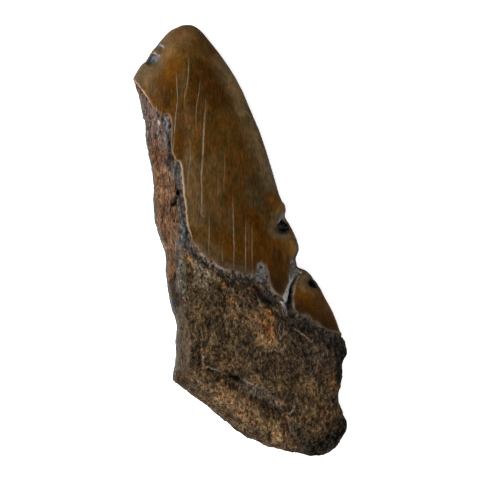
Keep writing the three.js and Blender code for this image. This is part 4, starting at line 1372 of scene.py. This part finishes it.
strands = s.noise(place, 0.36, 4, 0.65, stretch=(0.75, 3.6, 0.75), twist=0.25)
splinters = s.noise(place, 0.95, 3, 0.6, stretch=(0.7, 3.4, 0.7), twist=0.3)
patches = s.noise(place, 2.2, 3, 0.6, stretch=(1, 1.6, 1))
break_base = s.mix(s.step(0.3, 0.7, patches), BREAK_DARK, BREAK_PALE)
break_colour = s.mix(cover_in, break_base, washes_in)
break_colour = s.vary(break_colour, strands, 0.14, 2.25, spread=0.18)
break_colour = s.vary(break_colour, splinters, 0.65, 1.35, spread=0.18)
# painted shade in the torn hollows and painted light on the high fibres
break_colour = s.shade(break_colour, s.span(relief_for_shade, -0.7, 0.5, 0.5, 1.2))
break_colour = s.tint(break_colour, dentine_tint)
fissures = s.step(0.05, 0.01, abs(s.noise(place, 1.6, 3, 0.6, stretch=(0.6, 3.0, 0.6), twist=0.4) - 0.5))
break_colour = s.mix(fissures * s.step(0.42, 0.56, splinters) * 0.8, break_colour, FISSURE)
specks = s.step(0.66, 0.74, s.noise(place, 0.4, 2, 0.5, stretch=(1, 1.3, 1)))
break_colour = s.mix(specks * 0.4, break_colour, SPECK)

# %% [markdown]
# ### Putting the skins together
#
# Roughness changes with the skin too: enamel is polished, the root is chalky. Fine bump, with its heights in
# millimetres, adds what is smaller than the mesh.

# %% Shader
# the near-black of painted shade in the furrows
FURROW_SHADE = srgb(14, 10, 8)
STONE_IOR = 1.5
STONE_MIRROR = 0.09  # low, because the crossed film takes most of the mirror light away

bare_colour = s.mix(break_in, root_colour, break_colour)
# Painted shade: the deeper carved furrows are painted near black.
bare_colour = s.mix(s.step(0.3, 0.75, s.attribute("furrow")) * 0.85, bare_colour, FURROW_SHADE)
whole = s.mix(is_enamel, bare_colour, enamel_colour)
enamel_gloss = 0.30 + clouds * 0.10 + crack_line * 0.3 - chip_mask * 0.12
bare_gloss = 0.66 + felt * 0.2
gloss = bare_gloss + (enamel_gloss - bare_gloss) * is_enamel

enamel_bump = streaks * 0.006 - crack_line * 0.04
root_bump = grain * (0.10 - is_grey * 0.07) + felt * 0.14
break_bump = strands * 0.12 + splinters * 0.12
bare_bump = root_bump + (break_bump - root_bump) * break_in
bump_mm = bare_bump + (enamel_bump - bare_bump) * is_enamel
normal = s.node("Bump", {}, {"Strength": 1.0, "Distance": 1.0, "Height": bump_mm * MM})

s.connect(whole, s.shader.inputs["Base Color"])
s.connect(gloss, s.shader.inputs["Roughness"])
s.connect(normal, s.shader.inputs["Normal"])
s.shader.inputs["IOR"].default_value = STONE_IOR
s.shader.inputs["Specular IOR Level"].default_value = STONE_MIRROR
tooth.data.materials.append(skin)
print("material with", len(s.tree.nodes), "nodes")

# %% [markdown]
# ## Hand over
#
# The dressed tooth rides on the one body and stands for the solid.

# %% Finish
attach(tooth, "root")
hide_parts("tooth")
